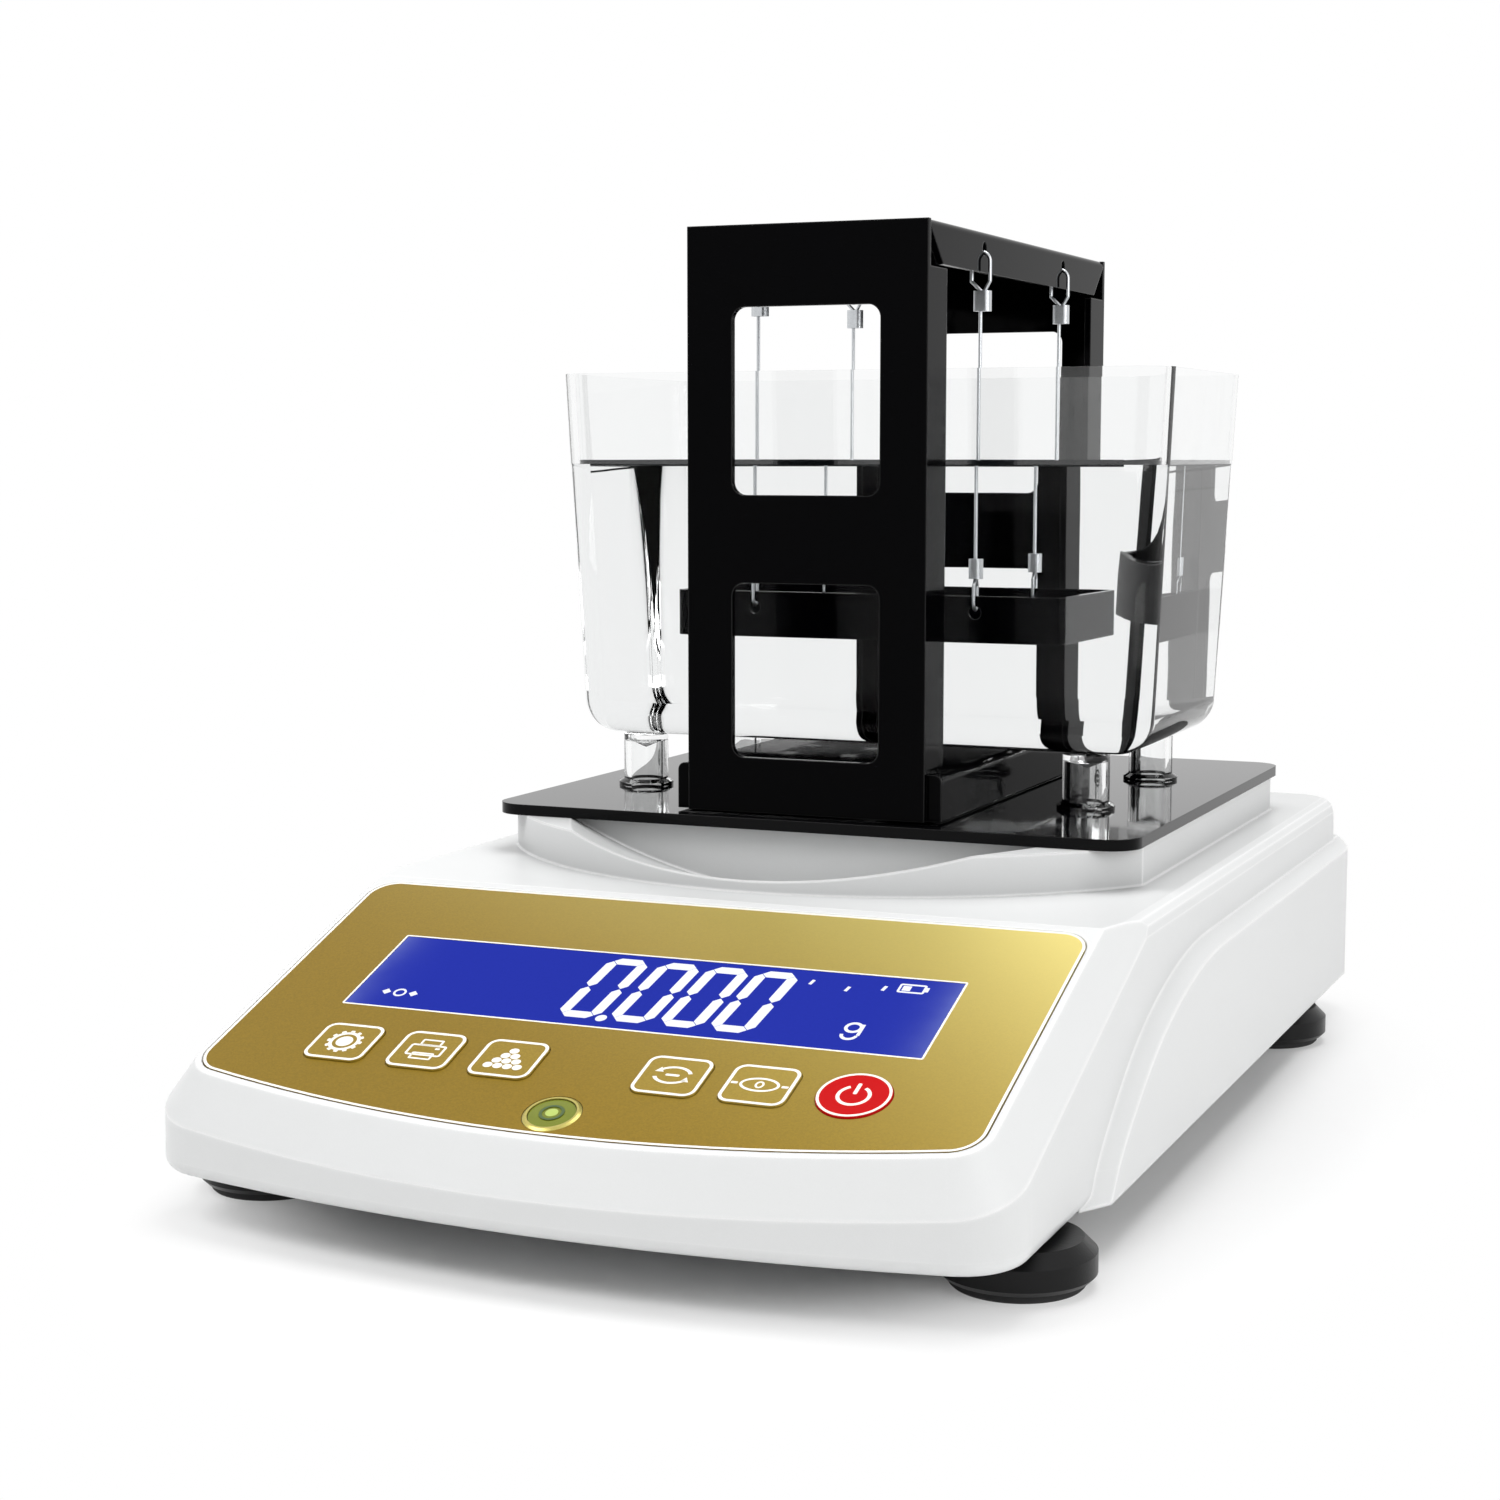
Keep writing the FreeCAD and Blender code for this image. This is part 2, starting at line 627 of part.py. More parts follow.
board_face = -(size("panel_wall") + size("window_flange_thickness") + size("seat_gap")
               + size("module_thickness") + size("seat_gap"))


def overlay_solid(margin, thickness, gap=0.0):
    """The control panel overlay: the plan outline drawn in, cut off straight at the top."""
    column = prism(plan_outline(margin - gap), 0, size("shoulder_height") * 2)
    top_y = panel_origin.y + (size("overlay_top") + gap) * math.cos(slope)
    front = column.common(across([(-reach, 0), (top_y, 0), (top_y, reach), (-reach, reach)]))
    corners = [edge for edge in front.Edges
               if straight_along(edge, 2) and abs(edge.CenterOfMass.y - top_y) < 0.001]
    front = front.makeFillet(size("overlay_corner_radius") + gap, corners)
    skin = in_panel(Part.makeBox(reach, reach, thickness + size("overrun") * (1 if gap else 0),
                                 Vector(-reach / 2, -reach / 2, -thickness)))
    return front.common(skin)


def top_cover():
    low = size("housing_underside")
    wall = size("cover_wall")
    shoulder = size("shoulder_height")
    drop = size("bevel_drop")
    walls = drafted(0)
    skirt = walls.common(below_panel(drop, 0, shoulder))
    skirt = round_lower_edge(skirt, low, size("skirt_edge_radius"))
    top_column = prism(plan_outline(size("bevel_inset")), -reach, reach)
    bevel = Part.makeLoft([slanted_outline(walls, drop), slanted_outline(top_column, 0)], True, True)
    bevel = bevel.common(across([(-reach, 0), (reach, 0), (reach, shoulder), (-reach, shoulder)]))
    hull = skirt.fuse(bevel).common(rounded_roof())
    pedestal = prism(pedestal_outline(0), shoulder - wall, size("pedestal_height"))
    outer = hull.fuse(fenders() + [pedestal]).removeSplitter().cut(scoop())

    inner_skirt = drafted(wall, size("overrun")).common(below_panel(drop + wall, 0, shoulder - wall))
    inner_top = prism(plan_outline(size("bevel_inset") + wall), 0, reach / 2)
    inner_top = inner_top.common(below_panel(size("panel_wall") / math.cos(slope), 0, shoulder - wall))
    inner_pedestal = prism(pedestal_outline(wall), low, size("pedestal_height") - wall)
    cavity = inner_skirt.fuse([inner_top, inner_pedestal]).cut(scoop(wall))
    cover = outer.cut(cavity)

    boss = size("boss_diameter")
    floor = low + wall + size("seat_gap")
    stems = [column_at(x, y, floor + wall, shoulder, boss) for x, y in screw_places()]
    stems = [stem.common(inner_skirt.fuse(inner_top)) for stem in stems]
    stems += [column_at(x, y, size("pedestal_height") - wall - size("peg_length"),
                        size("pedestal_height") - wall, boss) for x, y in peg_places()]
    stems += [panel_rod(boss, board_face + size("seat_gap"), -size("overlay_thickness") - size("seat_gap"), x, up)
              for x, up in board_posts()]
    cover = cover.fuse(stems)

    gap = size("seat_gap")
    cuts = [overlay_solid(size("overlay_margin"), size("overlay_thickness"), size("overlay_gap"))]
    cuts.append(panel_block(size("display_width") + gap, size("display_height") + gap, -reach / 8, gap,
                            up=size("display_middle")))
    deep = -size("key_body") - size("key_travel") - 2 * gap
    for share in KEY_SHARES.values():
        x = share * size("display_width")
        cuts.append(panel_block(size("key_width") + 2 * gap, size("key_height") + 2 * gap, deep, gap,
                                x, size("key_row"), size("key_radius")))
        cuts.append(panel_rod(size("plunger_diameter") + 2 * gap, -reach / 8, gap, x, size("key_row")))
    cuts.append(panel_rod(size("power_diameter") + 2 * gap, deep, gap, size("power_place"), size("key_row")))
    cuts.append(panel_rod(size("plunger_diameter") + 2 * gap, -reach / 8, gap,
                          size("power_place"), size("key_row")))
    ring = size("level_diameter") + 2 * size("level_ring_width")
    cuts.append(panel_rod(ring + gap, -size("overlay_thickness") - size("level_ring_width"), gap,
                          0, size("level_place")))
    cuts.append(panel_rod(size("level_diameter") + gap, -reach / 8, gap, 0, size("level_place")))
    cuts.append(column_at(0, size("plate_middle"), floor, size("pedestal_height") + gap, size("carrier_hole")))
    cuts += [column_at(x, y, size("pedestal_height") - size("peg_length") - gap,
                       size("pedestal_height") + gap, size("peg_diameter") + 2 * size("fit_gap"))
             for x, y in peg_places()]
    cuts += [column_at(x, y, 0, shoulder - 4 * wall, size("screw_diameter")) for x, y in screw_places()]
    for place_x, width, height in (("jack_place", "jack_size", "jack_size"),
                                   ("port_place", "port_shell_width", "port_shell_height")):
        opening = Part.makeBox(size(width) + 2 * gap, 4 * wall, size(height) + 2 * gap,
                               Vector(size(place_x) - size(width) / 2 - gap, half_length - 2 * wall,
                                      size("connector_height") - size(height) / 2 - gap))
        cuts.append(opening)
    return cover.cut(cuts)


node(moulding("top_cover", top_cover()))


def bottom_shell():
    """The floor of the housing: a tray inside the skirt, with seats, bosses, ribs and slots."""
    low = size("housing_underside")
    wall = size("cover_wall")
    gap = size("seat_gap")
    inset, lean = wall + 2 * gap, size("side_draft")
    shell = prism(plan_outline(inset, lean), low, low + wall)
    rim = prism(plan_outline(inset, lean), low, low + 2 * wall)
    rim = rim.cut(prism(plan_outline(inset + wall, lean), 0, reach))
    shell = shell.fuse(rim)
    floor = low + wall
    seat_y = size("plate_middle") + size("cell_length") / 2 - size("cell_pad") / 2
    adds = [Part.makeBox(size("cell_width") + 4 * wall, size("cell_pad"), size("cell_floor") - floor,
                         Vector(-size("cell_width") / 2 - 2 * wall, seat_y - size("cell_pad") / 2, floor))]
    adds += [column_at(x, y, floor, low + size("insert_height") + wall, size("insert_diameter") + wall * 0.8)
             for x, y in foot_places()]
    adds += [column_at(x, y, low, floor + wall, size("boss_diameter")) for x, y in screw_places()]
    for share in (-0.30, -0.12, 0.06):
        adds.append(Part.makeBox(size("housing_width") * 0.6, wall, 2 * wall,
                                 Vector(-size("housing_width") * 0.3, share * size("housing_length"), floor)))
    board_x, board_y = main_board_middle()
    for sx in (-1, 1):
        for sy in (-1, 1):
            adds.append(column_at(board_x + sx * (size("main_board_width") / 2 - size("boss_diameter") / 2),
                                  board_y + sy * (size("main_board_length") / 2 - size("boss_diameter") / 2),
                                  floor, low + size("standoff_height"), size("boss_diameter") * 0.7))
    shell = shell.fuse(adds)
    cuts = [column_at(x, y, 0, reach, size("insert_diameter")) for x, y in foot_places()]
    cuts += [column_at(x, y, 0, reach, size("screw_diameter") + 2 * gap) for x, y in screw_places()]
    cuts += [column_at(x, y, 0, low + wall, size("screw_head_diameter") + 2 * gap) for x, y in screw_places()]
    cuts += [column_at(0, y, 0, reach, size("bolt_diameter") + 2 * size("fit_gap")) for y in fixed_bolts()]
    cuts += [column_at(0, y, 0, low + 2 * wall, 1.8 * size("bolt_diameter")) for y in fixed_bolts()]
    slot = size("cover_wall")
    for step in range(-3, 4):
        for share_x in (-0.21, 0.05):
            cuts.append(Part.makeBox(size("housing_width") * 0.16, slot, low + 3 * wall,
                                     Vector(size("housing_width") * share_x,
                                            2 * step * slot - half_length * 0.36, 0)))
    return shell.cut(cuts)


def main_board_middle():
    return (size("housing_width") / 2 - size("cover_wall") * 4 - size("main_board_width") / 2,
            size("plate_middle") - size("cell_pad"))


def fixed_bolts():
    """Bolts through the rear pad of the load cell, front to rear."""
    end = size("plate_middle") + size("cell_length") / 2
    return [end - size("bolt_diameter") * 1.2, end - size("bolt_diameter") * 3.2]


def free_bolts():
    end = size("plate_middle") - size("cell_length") / 2
    return [end + size("bolt_diameter") * 1.2, end + size("bolt_diameter") * 3.2]


node(moulding("bottom_shell", bottom_shell()))


# Control panel: overlay, display, boards, keys and level.

def panel_overlay():
    sheet_solid = overlay_solid(size("overlay_margin"), size("overlay_thickness"))
    gap, low, high = size("key_gap"), -2 * size("overlay_thickness"), size("overlay_thickness")
    cuts = [panel_block(size("display_width") + gap, size("display_height") + gap, low, high,
                        up=size("display_middle"))]
    cuts += [panel_block(size("key_width") + 2 * gap, size("key_height") + 2 * gap, low, high,
                         share * size("display_width"), size("key_row"), size("key_radius") + gap)
             for share in KEY_SHARES.values()]
    cuts.append(panel_rod(size("power_diameter") + 2 * gap, low, high, size("power_place"), size("key_row")))
    cuts.append(panel_rod(size("level_diameter") + 2 * size("level_ring_width") + 2 * gap, low, high,
                          0, size("level_place")))
    return sheet_solid.cut(cuts)


node(moulding("panel_overlay", panel_overlay()))

window = new_body("lcd_window")
window_sketch = new_sketch(window, "XY_Plane", "-panel_wall")
rectangle(window_sketch, "display_width", "display_height")
pad(window, window_sketch, "panel_wall - fit_gap")
flange_sketch = new_sketch(window, "XY_Plane", "-panel_wall - window_flange_thickness")
rectangle(flange_sketch, "display_width + 2 * window_flange", "display_height + 2 * window_flange")
pad(window, flange_sketch, "window_flange_thickness")
node(on_panel(window, "display_middle"))

module = new_body("lcd_module")
module_sketch = new_sketch(module, "XY_Plane", "-panel_wall - window_flange_thickness - seat_gap - module_thickness")
rectangle(module_sketch, "display_width + 3 * window_flange", "display_height + 3 * window_flange")
pad(module, module_sketch, "module_thickness")
fillet(module, "window_flange / 2", lambda edge: straight_along(edge, 2))
node(on_panel(module, "display_middle"))

BOARD_FACE = "-(panel_wall + window_flange_thickness + 2 * seat_gap + module_thickness)"
board = new_body("display_board")
board_sketch = new_sketch(board, "XY_Plane", BOARD_FACE + " - board_thickness")
rectangle(board_sketch, "display_board_width", "display_board_height")
pad(board, board_sketch, "board_thickness")
board_holes = new_sketch(board, "XY_Plane", BOARD_FACE)
for share_x, share_y in BOARD_POST_SHARES:
    circle(board_holes, "screw_diameter", (f"{share_x} * display_board_width", f"{share_y} * display_board_height"))
pocket(board, board_holes, "board_thickness")
node(on_panel(board))


def board_screws():
    """Four screws that hold the display board to the posts of the top cover."""
    screws = []
    for x, up in board_posts():
        shank = Part.makeCylinder(size("screw_diameter") / 2 - size("fit_gap"), size("board_thickness"),
                                  Vector(x, up, board_face - size("board_thickness")))
        head = Part.makeCylinder(size("screw_head_diameter") / 2, size("board_thickness"),
                                 Vector(x, up, board_face - 2 * size("board_thickness")))
        screws.append(in_panel(shank.fuse(head)))
    return Part.makeCompound(screws)


node(moulding("display_board_screws", board_screws()))


def key_switches():
    switches = []
    places = [share * size("display_width") for share in KEY_SHARES.values()] + [size("power_place")]
    half = size("switch_size") / 2
    for x in places:
        case = Part.makeBox(2 * half, 2 * half, size("switch_height") * 0.7,
                            Vector(x - half, size("key_row") - half, board_face))
        stem = Part.makeCylinder(half * 0.55, size("switch_height"), Vector(x, size("key_row"), board_face))
        switches.append(in_panel(case.fuse(stem)))
    return Part.makeCompound(switches)


node(moulding("key_switches", key_switches()))

PLUNGER = "-(" + BOARD_FACE + " + switch_height + key_travel + seat_gap / 3) - key_body + key_rise"


def rectangular_key(label, share):
    """A membrane key: a low domed cap with a plunger to its switch."""
    key = new_body(label)
    cap = new_sketch(key, "XY_Plane", "key_rise - key_body")
    rectangle(cap, "key_width", "key_height")
    pad(key, cap, "key_body")
    fillet(key, "key_radius", lambda edge: straight_along(edge, 2))
    top = size("key_rise")
    fillet(key, "key_rise * 0.8",
           lambda edge: all(abs(vertex.Point.z - top) < 0.001 for vertex in edge.Vertexes))
    stem = new_sketch(key, "XY_Plane", "key_rise - key_body - (" + PLUNGER + ")")
    circle(stem, "plunger_diameter")
    pad(key, stem, PLUNGER)
    node(on_panel(key, "key_row", f"{share} * display_width"))


for label, share in KEY_SHARES.items():
    rectangular_key(label, share)

power = new_body("power_key")
power_cap = new_sketch(power, "XY_Plane", "key_rise - key_body")
circle(power_cap, "power_diameter")
pad(power, power_cap, "key_body")
fillet(power, "key_rise * 0.8", lambda edge: abs(edge.CenterOfMass.z - size("key_rise")) < 0.001)
power_stem = new_sketch(power, "XY_Plane", "key_rise - key_body - (" + PLUNGER + ")")
circle(power_stem, "plunger_diameter")
pad(power, power_stem, PLUNGER)
node(on_panel(power, "key_row", "power_place"))

level_ring = new_body("level_ring")
ring_sketch = new_sketch(level_ring, "XZ_Plane")
polygon(ring_sketch, [
    ("level_diameter / 2 + fit_gap", "-overlay_thickness - level_ring_width + fit_gap"),
    ("level_diameter / 2 + level_ring_width", "-overlay_thickness - level_ring_width + fit_gap"),
    ("level_diameter / 2 + level_ring_width", "-fit_gap"),
    ("level_diameter / 2 + level_ring_width / 2", "seat_gap"),
    ("level_diameter / 2 + fit_gap", "seat_gap"),
])
revolve(level_ring, ring_sketch)
node(on_panel(level_ring, "level_place"))

vial = new_body("bubble_level")
vial_sketch = new_sketch(vial, "XZ_Plane")
polygon(vial_sketch, [
    ("0", "-level_depth"),
    ("level_diameter / 2 - seat_gap / 3", "-level_depth"),
    ("level_diameter / 2 - seat_gap / 3", "0"),
    ("0", "level_ring_width / 4"),
])
revolve(vial, vial_sketch)
node(on_panel(vial, "level_place"))


# Weighing cell and electronics inside the housing.

def load_cell():
    """An aluminium single-point cell: a bar with two linked bores that leave thin webs."""
    start_y = size("plate_middle") - size("cell_length") / 2
    bar = Part.makeBox(size("cell_width"), size("cell_length"), size("cell_height"),
                       Vector(-size("cell_width") / 2, start_y, size("cell_floor")))
    middle_z = size("cell_floor") + size("cell_height") / 2
    radius = size("cell_hole") / 2
    apart = size("cell_length") / 2 - size("cell_pad") - radius
    tools = [Part.makeCylinder(radius, 2 * size("cell_width"),
                               Vector(-size("cell_width"), size("plate_middle") + side * apart, middle_z),
                               Vector(1, 0, 0)) for side in (-1, 1)]
    tools.append(Part.makeBox(2 * size("cell_width"), 2 * apart, radius,
                              Vector(-size("cell_width"), size("plate_middle") - apart, middle_z - radius / 2)))
    tools += [column_at(0, y, 0, reach, size("bolt_diameter")) for y in fixed_bolts() + free_bolts()]
    return bar.cut(tools)


node(moulding("load_cell", load_cell()))


def bolt(y, low, high, head_below):
    """A cap-head bolt on the middle plane from low to high, with its head below or above."""
    fit = size("bolt_diameter") / 2 - size("fit_gap")
    shank = Part.makeCylinder(fit, high - low, Vector(0, y, low))
    head_z = low - size("bolt_diameter") * 0.6 if head_below else high
    head = Part.makeCylinder(size("bolt_diameter") * 0.85, size("bolt_diameter") * 0.6, Vector(0, y, head_z))
    return shank.fuse(head)


cell_top = size("cell_floor") + size("cell_height")
bolt_seat = size("housing_underside") + 2 * size("cover_wall")
node(moulding("cell_base_bolts", Part.makeCompound(
    [bolt(y, bolt_seat, cell_top - size("bolt_diameter") / 2, True) for y in fixed_bolts()])))
node(moulding("cell_top_bolts", Part.makeCompound(
    [bolt(y, cell_top - size("bolt_diameter"), cell_top + size("carrier_thickness"), False)
     for y in free_bolts()])))


def carrier_plate():
    """A plate bolted to the free end of the load cell, with a raised arm that reaches the middle."""
    start_y = size("plate_middle") - size("cell_length") / 2
    clear = size("carrier_thickness") / 2
    pad_plate = Part.makeBox(size("cell_width"), size("cell_pad"), size("carrier_thickness"),
                             Vector(-size("cell_width") / 2, start_y, cell_top))
    arm_y = start_y + size("cell_pad") * 0.9
    arm_end = size("plate_middle") + size("column_flange") / 2
    arm = Part.makeBox(size("cell_width"), arm_end - arm_y, size("carrier_thickness"),
                       Vector(-size("cell_width") / 2, arm_y, cell_top + clear))
    holes = [column_at(0, y, 0, reach, size("bolt_diameter")) for y in free_bolts()]
    return pad_plate.fuse(arm).removeSplitter().cut(holes)


node(moulding("carrier_plate", carrier_plate()))

COLUMN_FOOT = "(cell_floor + cell_height + carrier_thickness * 1.5)"
column = new_body("weighing_column")
column_sketch = new_sketch(column, "XZ_Plane")
polygon(column_sketch, [
    ("0", COLUMN_FOOT),
    ("cell_width / 2", COLUMN_FOOT),
    ("cell_width / 2", COLUMN_FOOT + " + carrier_thickness"),
    ("column_diameter / 2", COLUMN_FOOT + " + carrier_thickness * 1.5"),
    ("column_diameter / 2", PLATE_TOP + " + frame_lift"),
    ("spigot_diameter / 2", PLATE_TOP + " + frame_lift"),
    ("spigot_diameter / 2", PLATE_TOP + " + frame_lift + spigot_height"),
    ("0", PLATE_TOP + " + frame_lift + spigot_height"),
])
revolve(column, column_sketch)
place(column, y="plate_middle")
node(column)

stop_low = size("housing_underside") + size("cover_wall")
node(group("overload_stop", [
    cylinder("stop_post", "boss_diameter", "cell_floor - stop_gap - housing_underside - cover_wall",
             "0", "plate_middle - cell_length / 2 + cell_pad / 2", "housing_underside + cover_wall"),
]))

battery_case = block("battery_case", "battery_width", "battery_length", "battery_height",
                     "-housing_width / 2 + cover_wall * 4 + battery_width / 2", "plate_middle",
                     "housing_underside + cover_wall")
battery_terminals = [
    block(f"battery_terminal_{number}", "battery_width / 8", "battery_width / 40", "battery_width / 8",
          f"-housing_width / 2 + cover_wall * 4 + battery_width * {share}",
          "plate_middle - battery_length * 0.4", "housing_underside + cover_wall + battery_height")
    for number, share in enumerate((0.25, 0.75), start=1)]
node(fuse("battery", [battery_case] + battery_terminals))


def main_board():
    x, y = main_board_middle()
    low = size("housing_underside") + size("standoff_height")
    width, length = size("main_board_width"), size("main_board_length")
    top = low + size("board_thickness")
    board_solid = Part.makeBox(width, length, size("board_thickness"), Vector(x - width / 2, y - length / 2, low))
    chip_shares = [(-0.15, -0.25, 0.30, 0.14, 2.0), (0.20, 0.05, 0.22, 0.10, 1.6), (-0.20, 0.28, 0.34, 0.12, 8.0)]
    for share_x, share_y, share_w, share_l, height in chip_shares:
        chip_w, chip_l = share_w * width, share_l * length
        board_solid = board_solid.fuse(Part.makeBox(
            chip_w, chip_l, height * size("board_thickness") / 1.6,
            Vector(x + share_x * width - chip_w / 2, y + share_y * length - chip_l / 2, top)))
    return board_solid


node(moulding("main_board", main_board()))

REAR_WALL = "(housing_length / 2 - cover_wall)"
jack = new_body("power_jack")
jack_sketch = new_sketch(jack, "XZ_Plane")
rectangle(jack_sketch, "jack_size", "jack_size")
pad(jack, jack_sketch, "jack_size + cover_wall")
jack_bore = new_sketch(jack, "XZ_Plane")
circle(jack_bore, "jack_size / 2")
pocket(jack, jack_bore, "jack_size * 0.8", flipped=True)
place(jack, "jack_place", "housing_length / 2", "connector_height")
node(jack)

port = new_body("serial_port")
port_flange = new_sketch(port, "XZ_Plane")
rectangle(port_flange, "port_width", "port_height")
pad(port, port_flange, "cover_wall")
port_shell = new_sketch(port, "XZ_Plane", "-cover_wall")
polygon(port_shell, [
    ("-port_shell_width / 2", "port_shell_height / 2"),
    ("port_shell_width / 2", "port_shell_height / 2"),
    ("port_shell_width / 2 - port_shell_height / 6", "-port_shell_height / 2"),
    ("-port_shell_width / 2 + port_shell_height / 6", "-port_shell_height / 2"),
])
pad(port, port_shell, "jack_size + cover_wall - seat_gap")
place(port, "port_place", REAR_WALL + " - seat_gap", "connector_height")
node(port)

interface = new_body("interface_board")
interface_sketch = new_sketch(interface, "XZ_Plane")
rectangle(interface_sketch, "port_place - jack_place + port_width * 1.4", "port_height * 2",
          ("(port_place + jack_place) / 2", "0"))
pad(interface, interface_sketch, "board_thickness")
place(interface, "0", REAR_WALL + " - jack_size", "connector_height")
node(interface)


# Base plate, its pegs, and the fasteners of the housing.

plate = new_body("base_plate")
plate_sketch = new_sketch(plate, "XY_Plane")
rectangle(plate_sketch, "plate_width", "plate_depth")
pad(plate, plate_sketch, "plate_thickness")
fillet(plate, "plate_corner_radius", lambda edge: straight_along(edge, 2))
plate_hole = new_sketch(plate, "XY_Plane", "plate_thickness")
circle(plate_hole, "carrier_hole - 4 * seat_gap")
pocket(plate, plate_hole, "plate_thickness")
place(plate, "0", "plate_middle", "pedestal_height")
node(plate)

node(group("plate_pegs", [
    cylinder(f"plate_peg_{number}", "peg_diameter", "peg_length", f"{sx} * peg_spread_x / 2",
             f"plate_middle + {sy} * peg_spread_y / 2", "pedestal_height - peg_length")
    for number, (sx, sy) in enumerate(((-1, -1), (1, -1), (-1, 1), (1, 1)), start=1)]))


def housing_screws():
    low, wall = size("housing_underside"), size("cover_wall")
    screws = []
    for x, y in screw_places():
        head = column_at(x, y, low + wall / 2, low + wall, size("screw_head_diameter"))
        shank = column_at(x, y, low + wall, low + 6 * wall, size("screw_diameter") - 2 * size("fit_gap"))
        screws.append(head.fuse(shank))
    return Part.makeCompound(screws)


node(moulding("housing_screws", housing_screws()))


# Levelling feet: a threaded insert in the base, a wheel with its stud, and a rubber sole.

FOOT_NAMES = ["front_left", "front_right", "rear_left", "rear_right"]
FOOT_FRONT = "foot_front_inset - housing_length / 2"
FOOT_REAR = "housing_length / 2 - foot_rear_inset"
FOOT_PLACES = [("-foot_spread_x / 2", FOOT_FRONT), ("foot_spread_x / 2", FOOT_FRONT),
               ("-foot_spread_x / 2", FOOT_REAR), ("foot_spread_x / 2", FOOT_REAR)]


def turned(label, outline, x, y, z="0"):
    """A round piece, from its half section: distances from the axis and heights."""
    body = new_body(label)
    section = new_sketch(body, "XZ_Plane")
    polygon(section, outline)
    revolve(body, section)
    place(body, x, y, z)
    return body


inserts = []
for name, (foot_x, foot_y) in zip(FOOT_NAMES, FOOT_PLACES):
    inserts.append(turned(f"{name}_insert", [
        ("stud_diameter / 2 + fit_gap", "0"),
        ("insert_diameter / 2", "0"),
        ("insert_diameter / 2", "insert_height"),
        ("stud_diameter / 2 + fit_gap", "insert_height"),
    ], foot_x, foot_y, "housing_underside"))
    node(turned(f"{name}_foot_wheel", [
        ("sole_pin_diameter / 2 + fit_gap", "sole_height"),
        ("wheel_diameter / 2 - fender_step / 4", "sole_height"),
        ("wheel_diameter / 2", "sole_height + fender_step / 4"),
        ("wheel_diameter / 2", "sole_height + wheel_rim_height"),
        ("wheel_diameter / 2 - (wheel_height - wheel_rim_height)", "sole_height + wheel_height"),
        ("stud_diameter / 2", "sole_height + wheel_height"),
        ("stud_diameter / 2", "sole_height + wheel_height + stud_length"),
        ("0", "sole_height + wheel_height + stud_length"),
        ("0", "sole_height + sole_pin_length + fit_gap"),
        ("sole_pin_diameter / 2 + fit_gap", "sole_height + sole_pin_length + fit_gap"),
    ], foot_x, foot_y))
    node(turned(f"{name}_foot_sole", [
        ("0", "0"),
        ("sole_diameter / 2 - sole_height / 4", "0"),
        ("sole_diameter / 2", "sole_height / 4"),
        ("sole_diameter / 2", "sole_height - fit_gap"),
        ("sole_pin_diameter / 2", "sole_height - fit_gap"),
        ("sole_pin_diameter / 2", "sole_height + sole_pin_length"),
        ("0", "sole_height + sole_pin_length"),
    ], foot_x, foot_y))
node(group("foot_inserts", inserts))


# Weighing frame: bent and folded black sheet round the tank.

FRAME_FOOT = PLATE_TOP + " + frame_lift"
FRAME_FRONT = "plate_middle - frame_depth / 2"
FRAME_BACK = "plate_middle + frame_depth / 2"

channel = new_body("frame_base")
channel_sketch = new_sketch(channel, "XY_Plane")
rectangle(channel_sketch, "base_width", "frame_depth - 2 * frame_sheet")
pad(channel, channel_sketch, "base_height")
fillet(channel, "frame_sheet", lambda edge: straight_along(edge, 1) and edge.CenterOfMass.z > size("frame_sheet"))
channel_inside = new_sketch(channel, "XY_Plane")
rectangle(channel_inside, "base_width - 2 * frame_sheet", "frame_depth - 4 * frame_sheet")
pocket(channel, channel_inside, "base_height - frame_sheet", flipped=True)
hub = new_sketch(channel, "XY_Plane")
circle(hub, "column_diameter")
pad(channel, hub, "base_height")
hub_bore = new_sketch(channel, "XY_Plane")
circle(hub_bore, "spigot_diameter + 2 * fit_gap")
pocket(channel, hub_bore, "spigot_height + seat_gap", flipped=True)
place(channel, "0", "plate_middle", FRAME_FOOT)
node(channel)


def frame_plate(label, flange_side):
    """A window plate with its two return flanges, which fold towards the tank."""
    body = new_body(label)
    face = new_sketch(body, "XZ_Plane")
    rectangle(face, "frame_width", "frame_height - frame_lift", ("0", "(frame_height - frame_lift) / 2"))
    pad(body, face, "frame_sheet", symmetric=True)
    for side in (-1, 1):
        fold = new_sketch(body, "XZ_Plane", f"{-flange_side} * (flange_depth / 2)")
        rectangle(fold, "frame_sheet", "frame_height - frame_lift - base_height - lip_height - frame_sheet",
                  (f"{side} * (frame_width / 2 - frame_sheet / 2)",
                   "base_height + (frame_height - frame_lift - base_height - lip_height) / 2"))
        pad(body, fold, "flange_depth", symmetric=True)
    windows = new_sketch(body, "XZ_Plane")
    for low, high in (("lower_sill", "crossbar_low"), ("crossbar_high", "header_low")):
        rectangle(windows, "frame_width - 2 * post_width", f"{high} - {low}",
                  ("0", f"({high} + {low}) / 2 - frame_lift"))
    pocket(body, windows, "frame_sheet * 3", symmetric=True)
    half_window = size("frame_width") / 2 - size("post_width")
    fillet(body, "window_radius", lambda edge: straight_along(edge, 1) and inside(edge, 0, half_window + size("edge_slack"))
           and edge.Length < size("frame_sheet") * 1.5)
    return body


front_plate = frame_plate("frame_front_plate", 1)
place(front_plate, "0", FRAME_FRONT + " + frame_sheet / 2", FRAME_FOOT)
node(front_plate)
back_plate = frame_plate("frame_back_plate", -1)
place(back_plate, "0", FRAME_BACK + " - frame_sheet / 2", FRAME_FOOT)
node(back_plate)

